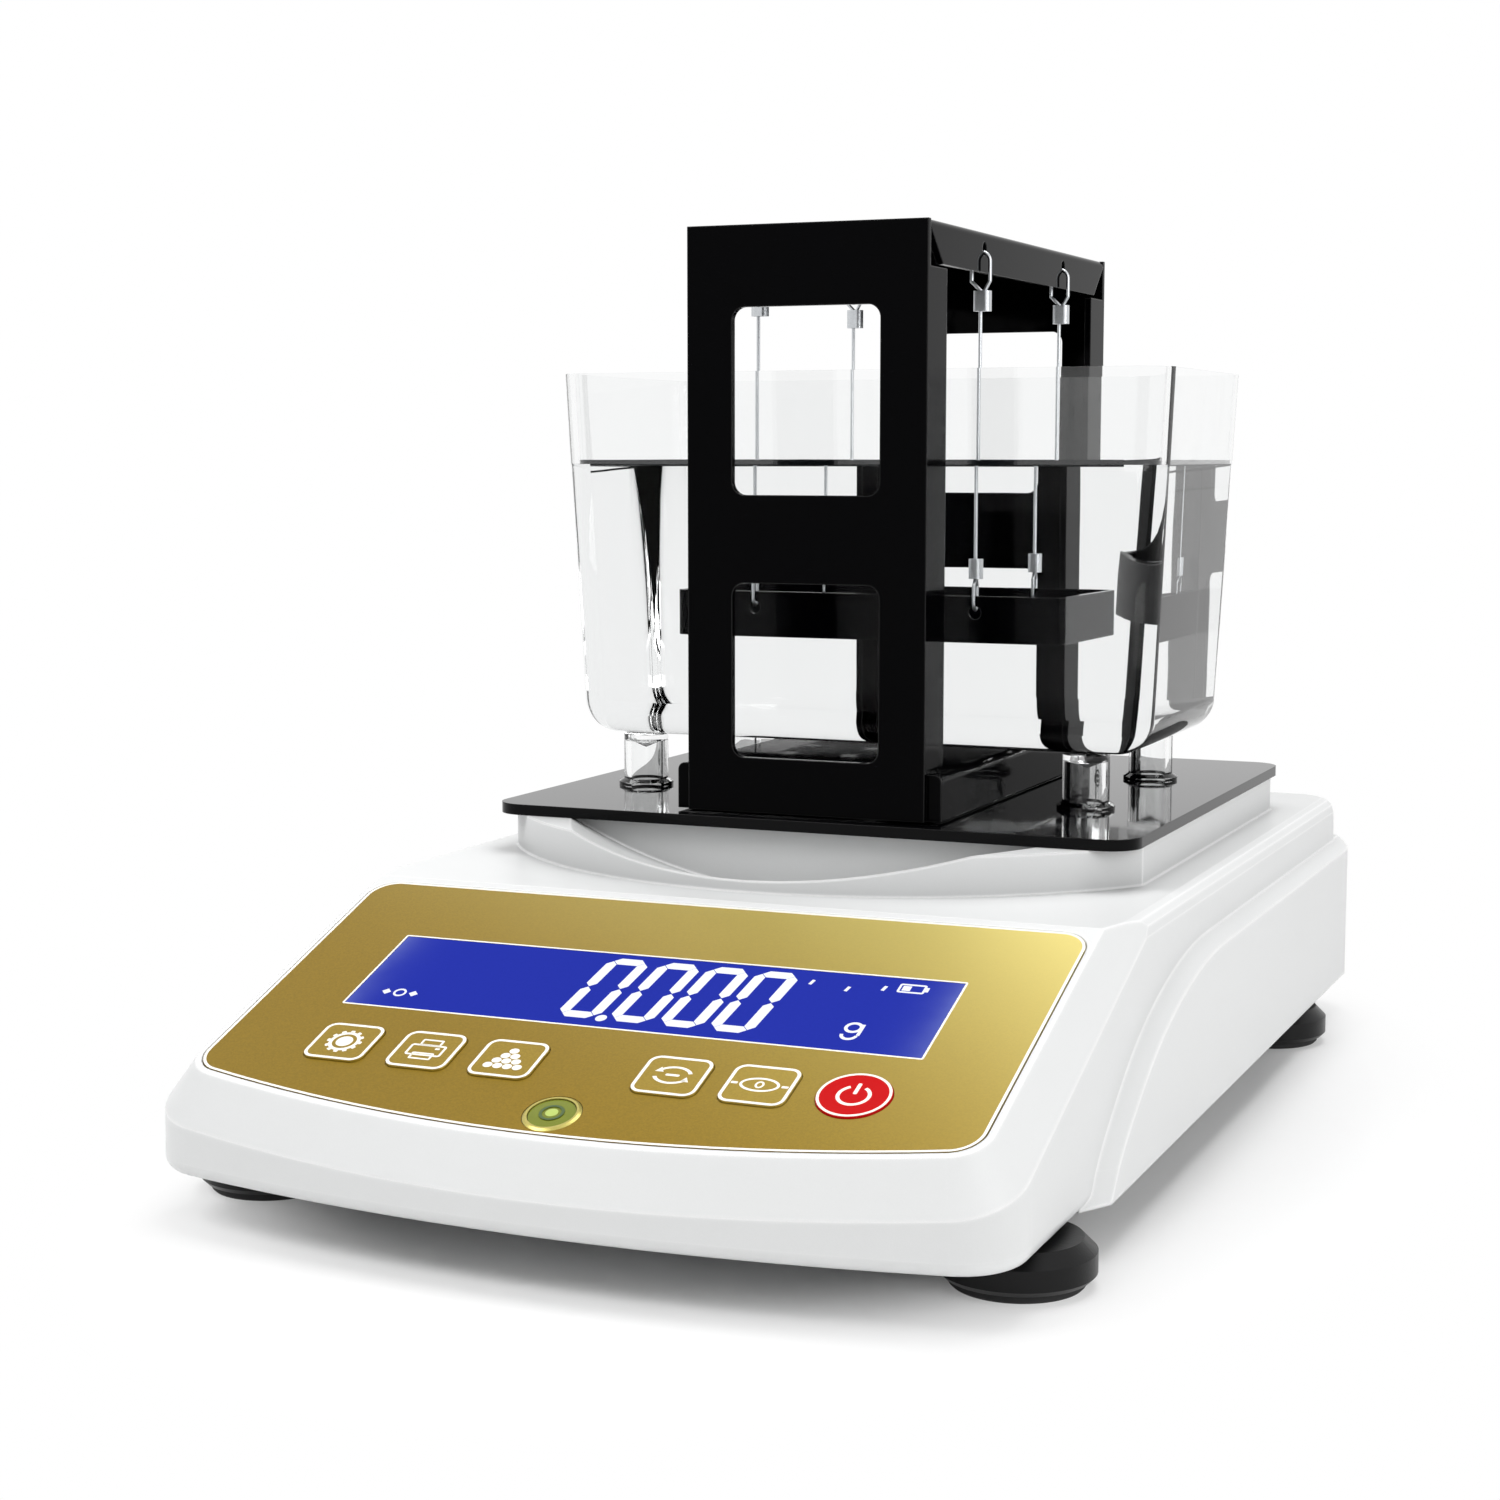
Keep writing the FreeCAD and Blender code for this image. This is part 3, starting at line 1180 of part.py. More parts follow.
top_plate = new_body("frame_top_plate")
top_sketch = new_sketch(top_plate, "XY_Plane", "-frame_sheet")
rectangle(top_sketch, "frame_width", "frame_depth - 2 * frame_sheet")
pad(top_plate, top_sketch, "frame_sheet")
for side in (-1, 1):
    lip = new_sketch(top_plate, "YZ_Plane", f"{side} * (frame_width / 2 - frame_sheet / 2)")
    polygon(lip, [
        ("-(frame_depth / 2 - frame_sheet)", "0"),
        ("-(frame_depth / 2 - frame_sheet)", "-frame_sheet"),
        ("-(frame_depth / 2 - frame_sheet - lip_slant)", "-lip_height"),
        ("frame_depth / 2 - frame_sheet - lip_slant", "-lip_height"),
        ("frame_depth / 2 - frame_sheet", "-frame_sheet"),
        ("frame_depth / 2 - frame_sheet", "0"),
    ])
    pad(top_plate, lip, "frame_sheet", symmetric=True)
fillet(top_plate, "frame_sheet * 0.8",
       lambda edge: straight_along(edge, 1) and abs(edge.CenterOfMass.z) < 0.001)
lip_holes = new_sketch(top_plate, "YZ_Plane")
for side in (-1, 1):
    circle(lip_holes, "wire_hole", (f"{side} * wire_spread / 2", "-hook_drop"))
pocket(top_plate, lip_holes, "frame_width * 2", symmetric=True)
place(top_plate, "0", "plate_middle", PLATE_TOP + " + frame_height")
node(top_plate)


# Hang wires: a loop round the web under each lip hole, a straight run, and a loop through the tray wall.

wire_top = plate_top + size("frame_height") - size("hook_drop")
wire_radius = size("wire_diameter") / 2
tray_rim = plate_top + size("tray_floor") + size("tray_height")
web_top = wire_top - size("wire_hole") / 2 + wire_radius + size("hook_gap")
crimp_top = web_top - size("loop_rise")
lower_web = tray_rim - size("hook_drop") + size("wire_hole") / 2 - wire_radius - size("hook_gap")
lower_crimp = lower_web + size("loop_rise") - size("tray_loop_half")
wire_x = size("frame_width") / 2 - size("frame_sheet") / 2
wire_y = size("wire_spread") / 2


def loop_points(turn_height, crimp_height, half, strand_gap):
    """Corners of a loop, from its tail in the sleeve round the turn and back to the run: across, height."""
    way = 1 if turn_height > crimp_height else -1
    shoulder, leg = crimp_height + way * half, turn_height - way * half
    tail_end = crimp_height - way * size("crimp_length")
    return ([(strand_gap, tail_end), (strand_gap, crimp_height), (half, shoulder), (half, leg)],
            (0.0, turn_height), [(-half, leg), (-half, shoulder), (0.0, crimp_height)])


def strand(points, direction):
    return [direction * across_part + Vector(0, 0, height) for across_part, height in points]


def hang_wire(side_x, side_y):
    """One unbroken wire: tail, loop round the lip, straight run, loop round the tray's wall, tail."""
    strand_gap = 2 * (wire_radius + size("fit_gap"))
    edges = []
    for turn, crimp, half, direction in (
            (web_top, crimp_top, size("loop_half"), Vector(1, 0, 0)),
            (lower_web, lower_crimp, size("tray_loop_half"), Vector(0, 1, 0))):
        out, top, back = loop_points(turn, crimp, half, strand_gap)
        out, back = strand(out, direction), strand(back, direction)
        crown = strand([top], direction)[0]
        for legs in (out, back):
            edges += [Part.LineSegment(first, last).toShape() for first, last in zip(legs, legs[1:])]
        edges.append(Part.Arc(out[-1], crown, back[0]).toShape())
    edges.append(Part.LineSegment(Vector(0, 0, crimp_top), Vector(0, 0, lower_crimp)).toShape())
    path = Part.Wire(Part.__sortEdges__(edges))
    start = path.OrderedVertexes[0].Point
    section = Part.Wire(Part.Circle(start, Vector(0, 0, 1), wire_radius).toShape())
    wire = path.makePipeShell([section], True, False, 1)
    wire.translate(Vector(side_x * wire_x, size("plate_middle") + side_y * wire_y, 0))
    return wire


def crimp_sleeves(side_x):
    """The four crimp sleeves of one side's two wires, each squeezed flat round two strands."""
    sleeves = []
    apart = 2 * (wire_radius + size("fit_gap"))
    thin = 2 * wire_radius + 2 * size("fit_gap")
    wall = size("crimp_diameter") - thin
    for side_y in (-1, 1):
        middle = Vector(side_x * wire_x, size("plate_middle") + side_y * wire_y, 0)
        for low, direction in ((crimp_top - size("crimp_length"), Vector(1, 0, 0)),
                               (lower_crimp, Vector(0, 1, 0))):
            along = thin + apart
            width = along if direction.x else thin
            depth = thin if direction.x else along
            body = Part.makeBox(width + wall, depth + wall, size("crimp_length"),
                                Vector(-(width + wall) / 2, -(depth + wall) / 2, low))
            body = body.makeFillet(wall / 2, [edge for edge in body.Edges if straight_along(edge, 2)])
            bore = Part.makeBox(width, depth, size("crimp_length") + 2 * size("overrun"),
                                Vector(-width / 2, -depth / 2, low - size("overrun")))
            sleeve = body.cut(bore)
            sleeve.translate(middle + direction * (apart / 2))
            sleeves.append(sleeve)
    return Part.makeCompound(sleeves)


for side_name, side_x in (("left", -1), ("right", 1)):
    for end_name, side_y in (("front", -1), ("rear", 1)):
        node(moulding(f"{end_name}_{side_name}_wire", hang_wire(side_x, side_y)))
    node(moulding(f"{side_name}_crimps", crimp_sleeves(side_x)))


# Hanging tray: folded from perforated sheet, open at the top.

tray = new_body("sample_tray")
tray_outline = new_sketch(tray, "XY_Plane")
rectangle(tray_outline, "tray_width", "wire_spread + tray_sheet")
pad(tray, tray_outline, "tray_height")
fillet(tray, "tray_corner_radius", lambda edge: straight_along(edge, 2))
tray_inside = new_sketch(tray, "XY_Plane", "tray_height")
rectangle(tray_inside, "tray_width - 2 * tray_sheet", "wire_spread - tray_sheet")
pocket(tray, tray_inside, "tray_height - tray_sheet")
half_tray = size("tray_width") / 2 - size("tray_sheet")
fillet(tray, "tray_corner_radius - tray_sheet", lambda edge: straight_along(edge, 2)
       and inside(edge, 0, half_tray + size("edge_slack")) and inside(edge, 1, (size("wire_spread") - size("tray_sheet")) / 2 + size("edge_slack"))
       and edge.Length < size("tray_height"))
drains = new_sketch(tray, "XY_Plane", "tray_sheet")
for column_number in range(-2, 3):
    for row_number in range(-1, 2):
        circle(drains, "tray_hole_diameter",
               (f"{column_number} * tray_width / 6", f"{row_number} * wire_spread / 4"))
pocket(tray, drains, "tray_sheet * 2", symmetric=True)
eyes = new_sketch(tray, "XZ_Plane")
for side in (-1, 1):
    circle(eyes, "wire_hole", (f"{side} * (frame_width / 2 - frame_sheet / 2)", "tray_height - hook_drop"))
pocket(tray, eyes, "wire_spread * 2", symmetric=True)
place(tray, "0", "plate_middle", PLATE_TOP + " + tray_floor")
node(tray)


# Tank and its feet.

def tapered_box(inset, floor_lift):
    """The tank's outer form drawn in by inset: outlines from its rounded lower edge up to the rim."""
    corner = size("tank_corner_radius") - inset
    lower_radius = size("tank_bottom_radius") - inset
    height = size("tank_height")

    def outline(draw_in, level):
        widen = level / height - 1
        half_x = size("tank_width") / 2 - inset - draw_in + size("tank_taper_x") * widen
        half_y = size("tank_depth") / 2 - inset - draw_in + size("tank_taper_y") * widen
        box = Part.makeBox(2 * half_x, 2 * half_y, height, Vector(-half_x, -half_y, level))
        box = box.makeFillet(max(corner - draw_in, size("tank_wall") / 2),
                             [edge for edge in box.Edges if straight_along(edge, 2)])
        return min(box.Faces, key=lambda face: face.CenterOfMass.z).OuterWire
    wires = [outline(lower_radius * (1 - math.sin(math.radians(turn))),
                     floor_lift + lower_radius * (1 - math.cos(math.radians(turn))))
             for turn in (0, 30, 60, 90)]
    wires.append(outline(0.0, height + (size("overrun") if inset else 0.0)))
    return Part.makeLoft(wires, True, True)


def tank():
    wall = size("tank_wall")
    shape = tapered_box(0, 0).cut(tapered_box(wall, wall))
    shape.translate(plate_middle + Vector(size("tank_offset"), 0, size("tank_foot_height")))
    return shape


node(moulding("tank", tank()))

tank_feet = []
for number, (sx, sy) in enumerate(((-1, -1), (1, -1), (-1, 1), (1, 1)), start=1):
    tank_feet.append(turned(f"tank_foot_{number}", [
        ("tank_foot_diameter / 2 - tank_foot_wall", "0"),
        ("tank_foot_ring / 2", "0"),
        ("tank_foot_ring / 2", "tank_foot_wall / 2"),
        ("tank_foot_diameter / 2", "tank_foot_wall"),
        ("tank_foot_diameter / 2", "tank_foot_height"),
        ("0", "tank_foot_height"),
        ("0", "tank_foot_height - tank_foot_wall * 2"),
        ("tank_foot_diameter / 2 - tank_foot_wall", "tank_foot_height - tank_foot_wall"),
    ], f"tank_offset + {sx} * tank_foot_spread_x / 2", f"plate_middle + {sy} * tank_foot_spread_y / 2", PLATE_TOP))
node(group("tank_feet", tank_feet))


# Check every object, then write one STEP file for each node.

doc.recompute()
for thing in doc.Objects:
    if "Invalid" in thing.State or "Error" in thing.State:
        raise RuntimeError(f"{thing.Label}: {thing.State}")
for thing in NODES:
    if thing.Shape.isNull() or not thing.Shape.isValid() or not thing.Shape.Solids:
        raise RuntimeError(thing.Label + ": no valid solid")

os.makedirs("parts", exist_ok=True)
for thing in NODES:
    thing.Shape.exportStep(f"parts/{thing.Label}.step")
    box = thing.Shape.BoundBox
    print(f"{thing.Label}: {len(thing.Shape.Solids)} solids, {thing.Shape.Volume:.0f} mm3, "
          f"x {box.XMin:.1f}..{box.XMax:.1f} y {box.YMin:.1f}..{box.YMax:.1f} z {box.ZMin:.1f}..{box.ZMax:.1f}")
print(len(NODES), "nodes")
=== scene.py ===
# %% [markdown]
# # A benchtop density meter, dressed for its portrait
#
# The meter is a white balance with a sloping gold key panel. A black folded frame stands on the balance's
# weighing column and bridges a clear water tank, and four twisted wires hang a tray from it in the water.
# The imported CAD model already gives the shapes, in metres, with every part where it belongs. This lesson
# gives those parts their finishes, and adds what a designer leaves to the surface: the lit display, the
# printed pictograms, the water and the small fittings at the back.

# %% Load the model
import math

import bmesh
import bpy
from mathutils import Matrix, Vector
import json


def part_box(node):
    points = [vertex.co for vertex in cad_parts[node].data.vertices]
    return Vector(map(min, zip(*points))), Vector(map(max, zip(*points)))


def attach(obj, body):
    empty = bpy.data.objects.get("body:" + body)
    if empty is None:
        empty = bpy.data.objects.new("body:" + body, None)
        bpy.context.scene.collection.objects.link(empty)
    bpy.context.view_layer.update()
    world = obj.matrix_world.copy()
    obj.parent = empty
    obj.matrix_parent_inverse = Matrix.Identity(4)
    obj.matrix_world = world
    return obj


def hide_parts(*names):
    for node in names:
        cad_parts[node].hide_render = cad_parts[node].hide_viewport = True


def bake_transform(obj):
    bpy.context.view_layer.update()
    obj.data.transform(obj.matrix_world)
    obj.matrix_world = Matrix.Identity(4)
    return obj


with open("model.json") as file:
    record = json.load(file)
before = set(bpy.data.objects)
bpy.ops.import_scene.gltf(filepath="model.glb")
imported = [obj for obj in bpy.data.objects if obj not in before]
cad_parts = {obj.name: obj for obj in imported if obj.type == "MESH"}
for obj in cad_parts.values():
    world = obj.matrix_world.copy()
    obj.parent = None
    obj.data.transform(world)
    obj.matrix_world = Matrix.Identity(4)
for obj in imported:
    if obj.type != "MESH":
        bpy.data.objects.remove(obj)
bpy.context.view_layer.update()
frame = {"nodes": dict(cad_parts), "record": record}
nodes = frame["nodes"]
scene = bpy.context.scene

# %% [markdown]
# ## Working on the sloping panel
#
# Everything printed on the panel is easiest to draw flat, with X across, Y up the slope and Z out of it.
# One matrix then carries a flat drawing onto the slope. The model's own panel starts 128.5 mm in front of
# the middle, 50.5 mm above the bench, and rises at 19.8 degrees, so the matrix is a turn about X and a
# move. The finished mesh keeps its place in its own points, and its object stays at the origin.

# %% The panel's matrix and the helper that finishes a piece
MM = 0.001
PANEL = Matrix.Translation((0, -0.1285, 0.0505)) @ Matrix.Rotation(math.radians(19.8), 4, "X")


def on_panel(across, up, depth=0.0):
    return PANEL @ Matrix.Translation((across * MM, up * MM, depth * MM))


def settle_faces(bm):
    """Drops the wall hidden where a ring's ends meet, and sorts the faces, which extruding leaves in
    another order in every run."""
    walls = [f for f in bm.faces if all(len(e.link_faces) > 2 for e in f.edges)]
    bmesh.ops.delete(bm, geom=walls, context="FACES_ONLY")
    bm.verts.index_update()
    for row, face in enumerate(sorted(bm.faces, key=lambda f: sorted(v.index for v in f.verts))):
        face.index = row
    bm.faces.sort()


def finish_piece(name, bm, material, body, place=None, smooth=False):
    """Turns a bmesh drawn in millimetres into a named piece that rides a body of the model."""
    bmesh.ops.scale(bm, vec=(MM, MM, MM), verts=bm.verts)
    if place is not None:
        bmesh.ops.transform(bm, matrix=place, verts=bm.verts)
    bmesh.ops.remove_doubles(bm, verts=bm.verts, dist=1e-7)
    settle_faces(bm)
    bmesh.ops.recalc_face_normals(bm, faces=bm.faces)
    mesh = bpy.data.meshes.new(name)
    bm.to_mesh(mesh)
    bm.free()
    for face in mesh.polygons:
        face.use_smooth = smooth
    obj = bpy.data.objects.new(name, mesh)
    scene.collection.objects.link(obj)
    mesh.materials.append(material)
    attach(obj, body)
    print(name, "rides", body, "with", len(mesh.polygons), "faces")
    return obj


print("panel normal:", [round(v, 3) for v in PANEL.to_3x3() @ Vector((0, 0, 1))])

# %% [markdown]
# ## Shared surface effects
#
# Real finishes are never one even colour. Moulded plastic has a fine spark-eroded grain, film has a print
# that glitters a little, sheet metal has a drawn direction, and everything that is handled is a bit
# duller in places. Each effect is a node group that is built once, with plain inputs, so that every
# material below can use it with its own numbers. All of them read Object coordinates, so the pattern
# stays on the part when it moves.

# %% A group that makes a fine grain
def new_group(name, inputs, outputs):
    tree = bpy.data.node_groups.new(name, "ShaderNodeTree")
    for label, kind, default in inputs:
        tree.interface.new_socket(name=label, in_out="INPUT", socket_type=kind).default_value = default
    for label, kind in outputs:
        tree.interface.new_socket(name=label, in_out="OUTPUT", socket_type=kind)
    return tree, tree.nodes.new("NodeGroupInput"), tree.nodes.new("NodeGroupOutput")


def add_math(tree, operation, first, second, third=None):
    node = tree.nodes.new("ShaderNodeMath")
    node.operation = operation
    for socket, value in zip(node.inputs, (first, second, third)):
        if value is None:
            continue
        if isinstance(value, (int, float)):
            socket.default_value = value
        else:
            tree.links.new(value, socket)
    return node.outputs[0]


def tint(tree, colour, factor):
    """Multiplies a colour by a number that changes over the surface."""
    node = tree.nodes.new("ShaderNodeVectorMath")
    node.operation = "SCALE"
    tree.links.new(colour, node.inputs[0])
    tree.links.new(factor, node.inputs["Scale"])
    return node.outputs[0]


FLOAT, COLOUR, VECTOR = "NodeSocketFloat", "NodeSocketColor", "NodeSocketVector"
BROAD_SCALE, BROAD_SHARE = 14.0, 0.6
grain_group, group_in, group_out = new_group(
    "fine_grain",
    [("Colour", COLOUR, (1, 1, 1, 1)), ("Scale", FLOAT, 2000.0), ("Contrast", FLOAT, 0.05)],
    [("Colour", COLOUR), ("Height", FLOAT)])
coordinates = grain_group.nodes.new("ShaderNodeTexCoord")
fine = grain_group.nodes.new("ShaderNodeTexNoise")
fine.inputs["Detail"].default_value = 3.0
grain_group.links.new(coordinates.outputs["Object"], fine.inputs["Vector"])
grain_group.links.new(group_in.outputs["Scale"], fine.inputs["Scale"])
broad = grain_group.nodes.new("ShaderNodeTexNoise")
broad.inputs["Scale"].default_value = BROAD_SCALE
grain_group.links.new(coordinates.outputs["Object"], broad.inputs["Vector"])
mixed = add_math(grain_group, "MULTIPLY_ADD", broad.outputs["Fac"], BROAD_SHARE, fine.outputs["Fac"])
centred = add_math(grain_group, "SUBTRACT", mixed, (1 + BROAD_SHARE) / 2)
swing = add_math(grain_group, "MULTIPLY_ADD", centred, group_in.outputs["Contrast"], 1.0)
grain_group.links.new(tint(grain_group, group_in.outputs["Colour"], swing), group_out.inputs["Colour"])
grain_group.links.new(fine.outputs["Fac"], group_out.inputs["Height"])
print("group fine_grain has", len(grain_group.nodes), "nodes")

# %% [markdown]
# The second group is for handling: soft clouds of wiped and unwiped surface, and hair-fine scratches laid
# across them. It puts out one roughness. Stretching a noise along one axis is the simplest way to get
# scratches that all run roughly the same way.

# %% A group for wiping marks and fine scratches
CLOUD_SCALE, SCRATCH_SHARE, SMOOTHEST = 38.0, 0.5, 0.02
SCRATCH_TURN, SCRATCH_STRETCH = (0.3, 0.2, 0.6), (30.0, 1400.0, 900.0)
marks_group, group_in, group_out = new_group(
    "handling_marks", [("Roughness", FLOAT, 0.4), ("Amount", FLOAT, 0.1)], [("Roughness", FLOAT)])
coordinates = marks_group.nodes.new("ShaderNodeTexCoord")
clouds = marks_group.nodes.new("ShaderNodeTexNoise")
clouds.inputs["Scale"].default_value = CLOUD_SCALE
clouds.inputs["Detail"].default_value = 5.0
marks_group.links.new(coordinates.outputs["Object"], clouds.inputs["Vector"])
stretch = marks_group.nodes.new("ShaderNodeMapping")
stretch.inputs["Rotation"].default_value = SCRATCH_TURN
stretch.inputs["Scale"].default_value = SCRATCH_STRETCH
scratches = marks_group.nodes.new("ShaderNodeTexNoise")
scratches.inputs["Scale"].default_value = 1.0
marks_group.links.new(coordinates.outputs["Object"], stretch.inputs["Vector"])
marks_group.links.new(stretch.outputs["Vector"], scratches.inputs["Vector"])
both = add_math(marks_group, "MULTIPLY_ADD", scratches.outputs["Fac"], SCRATCH_SHARE, clouds.outputs["Fac"])
centred = add_math(marks_group, "SUBTRACT", both, (1 + SCRATCH_SHARE) / 2)
rough = add_math(marks_group, "MULTIPLY_ADD", centred, group_in.outputs["Amount"],
                 group_in.outputs["Roughness"])
marks_group.links.new(add_math(marks_group, "MAXIMUM", rough, SMOOTHEST), group_out.inputs["Roughness"])
print("group handling_marks has", len(marks_group.nodes), "nodes")

# %% [markdown]
# Drawn or rolled metal shows lines in the direction in which it passed through the mill. The third group
# gives a height for those lines, with the direction as an input, so that the same group serves the
# aluminium bar, the steel wires and the turned brass.

# %% A group for drawn metal lines
LINE_CONTRAST = 0.3
lines_group, group_in, group_out = new_group(
    "drawn_lines", [("Across", VECTOR, (2500.0, 60.0, 2500.0))],
    [("Height", FLOAT), ("Shade", FLOAT)])
coordinates = lines_group.nodes.new("ShaderNodeTexCoord")
stretch = lines_group.nodes.new("ShaderNodeVectorMath")
stretch.operation = "MULTIPLY"
lines_group.links.new(coordinates.outputs["Object"], stretch.inputs[0])
lines_group.links.new(group_in.outputs["Across"], stretch.inputs[1])
lines = lines_group.nodes.new("ShaderNodeTexNoise")
lines.inputs["Scale"].default_value = 1.0
lines.inputs["Detail"].default_value = 2.0
lines_group.links.new(stretch.outputs[0], lines.inputs["Vector"])
lines_group.links.new(lines.outputs["Fac"], group_out.inputs["Height"])
line_shade = add_math(lines_group, "MULTIPLY_ADD", lines.outputs["Fac"], LINE_CONTRAST, 1 - LINE_CONTRAST / 2)
lines_group.links.new(line_shade, group_out.inputs["Shade"])
print("group drawn_lines has", len(lines_group.nodes), "nodes")

# %% [markdown]
# The last group is for form and for painted light. A Bevel node softens the normal along the edges, and
# where that softened normal leaves the true one there is an edge: there the colour turns paler, a painted
# highlight that stands in for the light that edges catch. An Ambient Occlusion node finds the hollows,
# and there the colour turns darker, a painted shade.

# %% A group for edges and hollows, with painted highlights and painted shade
EDGE_GAIN, PAINTED_SHADE_REACH, FORM_SAMPLES = 28.0, 0.014, 6
form_group, group_in, group_out = new_group(
    "painted_edge_highlights_and_shade",
    [("Colour", COLOUR, (1, 1, 1, 1)), ("Radius", FLOAT, 0.001), ("Glint", FLOAT, 0.3),
     ("Hollow", FLOAT, 0.3)],
    [("Colour", COLOUR), ("Normal", VECTOR)])
rounding = form_group.nodes.new("ShaderNodeBevel")
rounding.samples = FORM_SAMPLES
form_group.links.new(group_in.outputs["Radius"], rounding.inputs["Radius"])
geometry = form_group.nodes.new("ShaderNodeNewGeometry")
turned = form_group.nodes.new("ShaderNodeVectorMath")
turned.operation = "DOT_PRODUCT"
form_group.links.new(rounding.outputs["Normal"], turned.inputs[0])
form_group.links.new(geometry.outputs["Normal"], turned.inputs[1])
# Painted highlight: the colour is mixed towards white along the edges.
painted_highlight_mask = add_math(form_group, "MULTIPLY_ADD", turned.outputs["Value"], -EDGE_GAIN, EDGE_GAIN)
painted_highlight_mask = add_math(form_group, "MINIMUM", painted_highlight_mask, 1.0)
painted_highlight_mask = add_math(form_group, "MULTIPLY", painted_highlight_mask, group_in.outputs["Glint"])
# Painted shade: the colour is darkened in the hollows that the occlusion finds.
painted_shade_occlusion = form_group.nodes.new("ShaderNodeAmbientOcclusion")
painted_shade_occlusion.samples = FORM_SAMPLES
painted_shade_occlusion.inputs["Distance"].default_value = PAINTED_SHADE_REACH
covered = add_math(form_group, "SUBTRACT", 1.0, painted_shade_occlusion.outputs["AO"])
painted_shade_amount = add_math(form_group, "MULTIPLY", covered, group_in.outputs["Hollow"])
painted_shade_factor = add_math(form_group, "SUBTRACT", 1.0, painted_shade_amount)
painted_glint = form_group.nodes.new("ShaderNodeMix")
painted_glint.data_type = "RGBA"
form_group.links.new(painted_highlight_mask, painted_glint.inputs["Factor"])
form_group.links.new(tint(form_group, group_in.outputs["Colour"], painted_shade_factor), painted_glint.inputs[6])
painted_glint.inputs[7].default_value = (1, 1, 1, 1)
form_group.links.new(painted_glint.outputs[2], group_out.inputs["Colour"])
form_group.links.new(rounding.outputs["Normal"], group_out.inputs["Normal"])
print("group painted_edge_highlights_and_shade has", len(form_group.nodes), "nodes")

# %% [markdown]
# ## One maker for the plain finishes
#
# Most parts need the same recipe: a colour through the grain group, a roughness through the handling
# group, and the grain's height through a Bump node. The helper below wires that up and leaves every
# number that is the same all over the part, such as metal, coat or specular level, on the shader itself,
# where an exporter can read it. Parts whose edges show in the portrait also go through the group for
# form, which softens their edges and paints highlights on them and shade into their hollows.

# %% The recipe for a finish
BUMP_DEPTH = 0.0001


def use_group(tree, group, **values):
    node = tree.nodes.new("ShaderNodeGroup")
    node.node_tree = group
    for label, value in values.items():
        node.inputs[label].default_value = value
    return node


def new_finish(name, colour, roughness, metallic=0.0, grain=2000.0, contrast=0.05, bump=0.1,
               marks=0.1, lines=None, edge=0.0, painted_glint=0.0, painted_shade=0.0, **shader_values):
    material = bpy.data.materials.new(name)
    material.use_nodes = True
    tree = material.node_tree
    shader = tree.nodes["Principled BSDF"]
    grain_node = use_group(tree, grain_group, Colour=(*colour, 1), Scale=grain, Contrast=contrast)
    marks_node = use_group(tree, marks_group, Roughness=roughness, Amount=marks)
    bump_node = tree.nodes.new("ShaderNodeBump")
    bump_node.inputs["Strength"].default_value = bump
    bump_node.inputs["Distance"].default_value = BUMP_DEPTH
    colour_out, height_out = grain_node.outputs["Colour"], grain_node.outputs["Height"]
    # Painted light from the form group: paler edges as painted highlight, darker hollows as painted shade.
    if edge:
        form_node = use_group(tree, form_group, Radius=edge, Glint=painted_glint, Hollow=painted_shade)
        tree.links.new(colour_out, form_node.inputs["Colour"])
        tree.links.new(form_node.outputs["Normal"], bump_node.inputs["Normal"])
        colour_out = form_node.outputs["Colour"]
    if lines is not None:
        lines_node = use_group(tree, lines_group, Across=lines)
        colour_out = tint(tree, colour_out, lines_node.outputs["Shade"])
        height_out = lines_node.outputs["Height"]
    tree.links.new(colour_out, shader.inputs["Base Color"])
    tree.links.new(marks_node.outputs["Roughness"], shader.inputs["Roughness"])
    tree.links.new(height_out, bump_node.inputs["Height"])
    tree.links.new(bump_node.outputs["Normal"], shader.inputs["Normal"])
    shader.inputs["Metallic"].default_value = metallic
    for label, value in shader_values.items():
        shader.inputs[label.replace("_", " ")].default_value = value
    return material


def srgb(code):
    """A colour written as on a paint card, turned into the linear values that the shader wants."""
    parts = [int(code[i:i + 2], 16) / 255 for i in (0, 2, 4)]
    return tuple(p / 12.92 if p <= 0.04045 else ((p + 0.055) / 1.055) ** 2.4 for p in parts)


HOUSING_WHITE = "e0e1e1"
print("housing white in linear values:", [round(v, 3) for v in srgb(HOUSING_WHITE)])
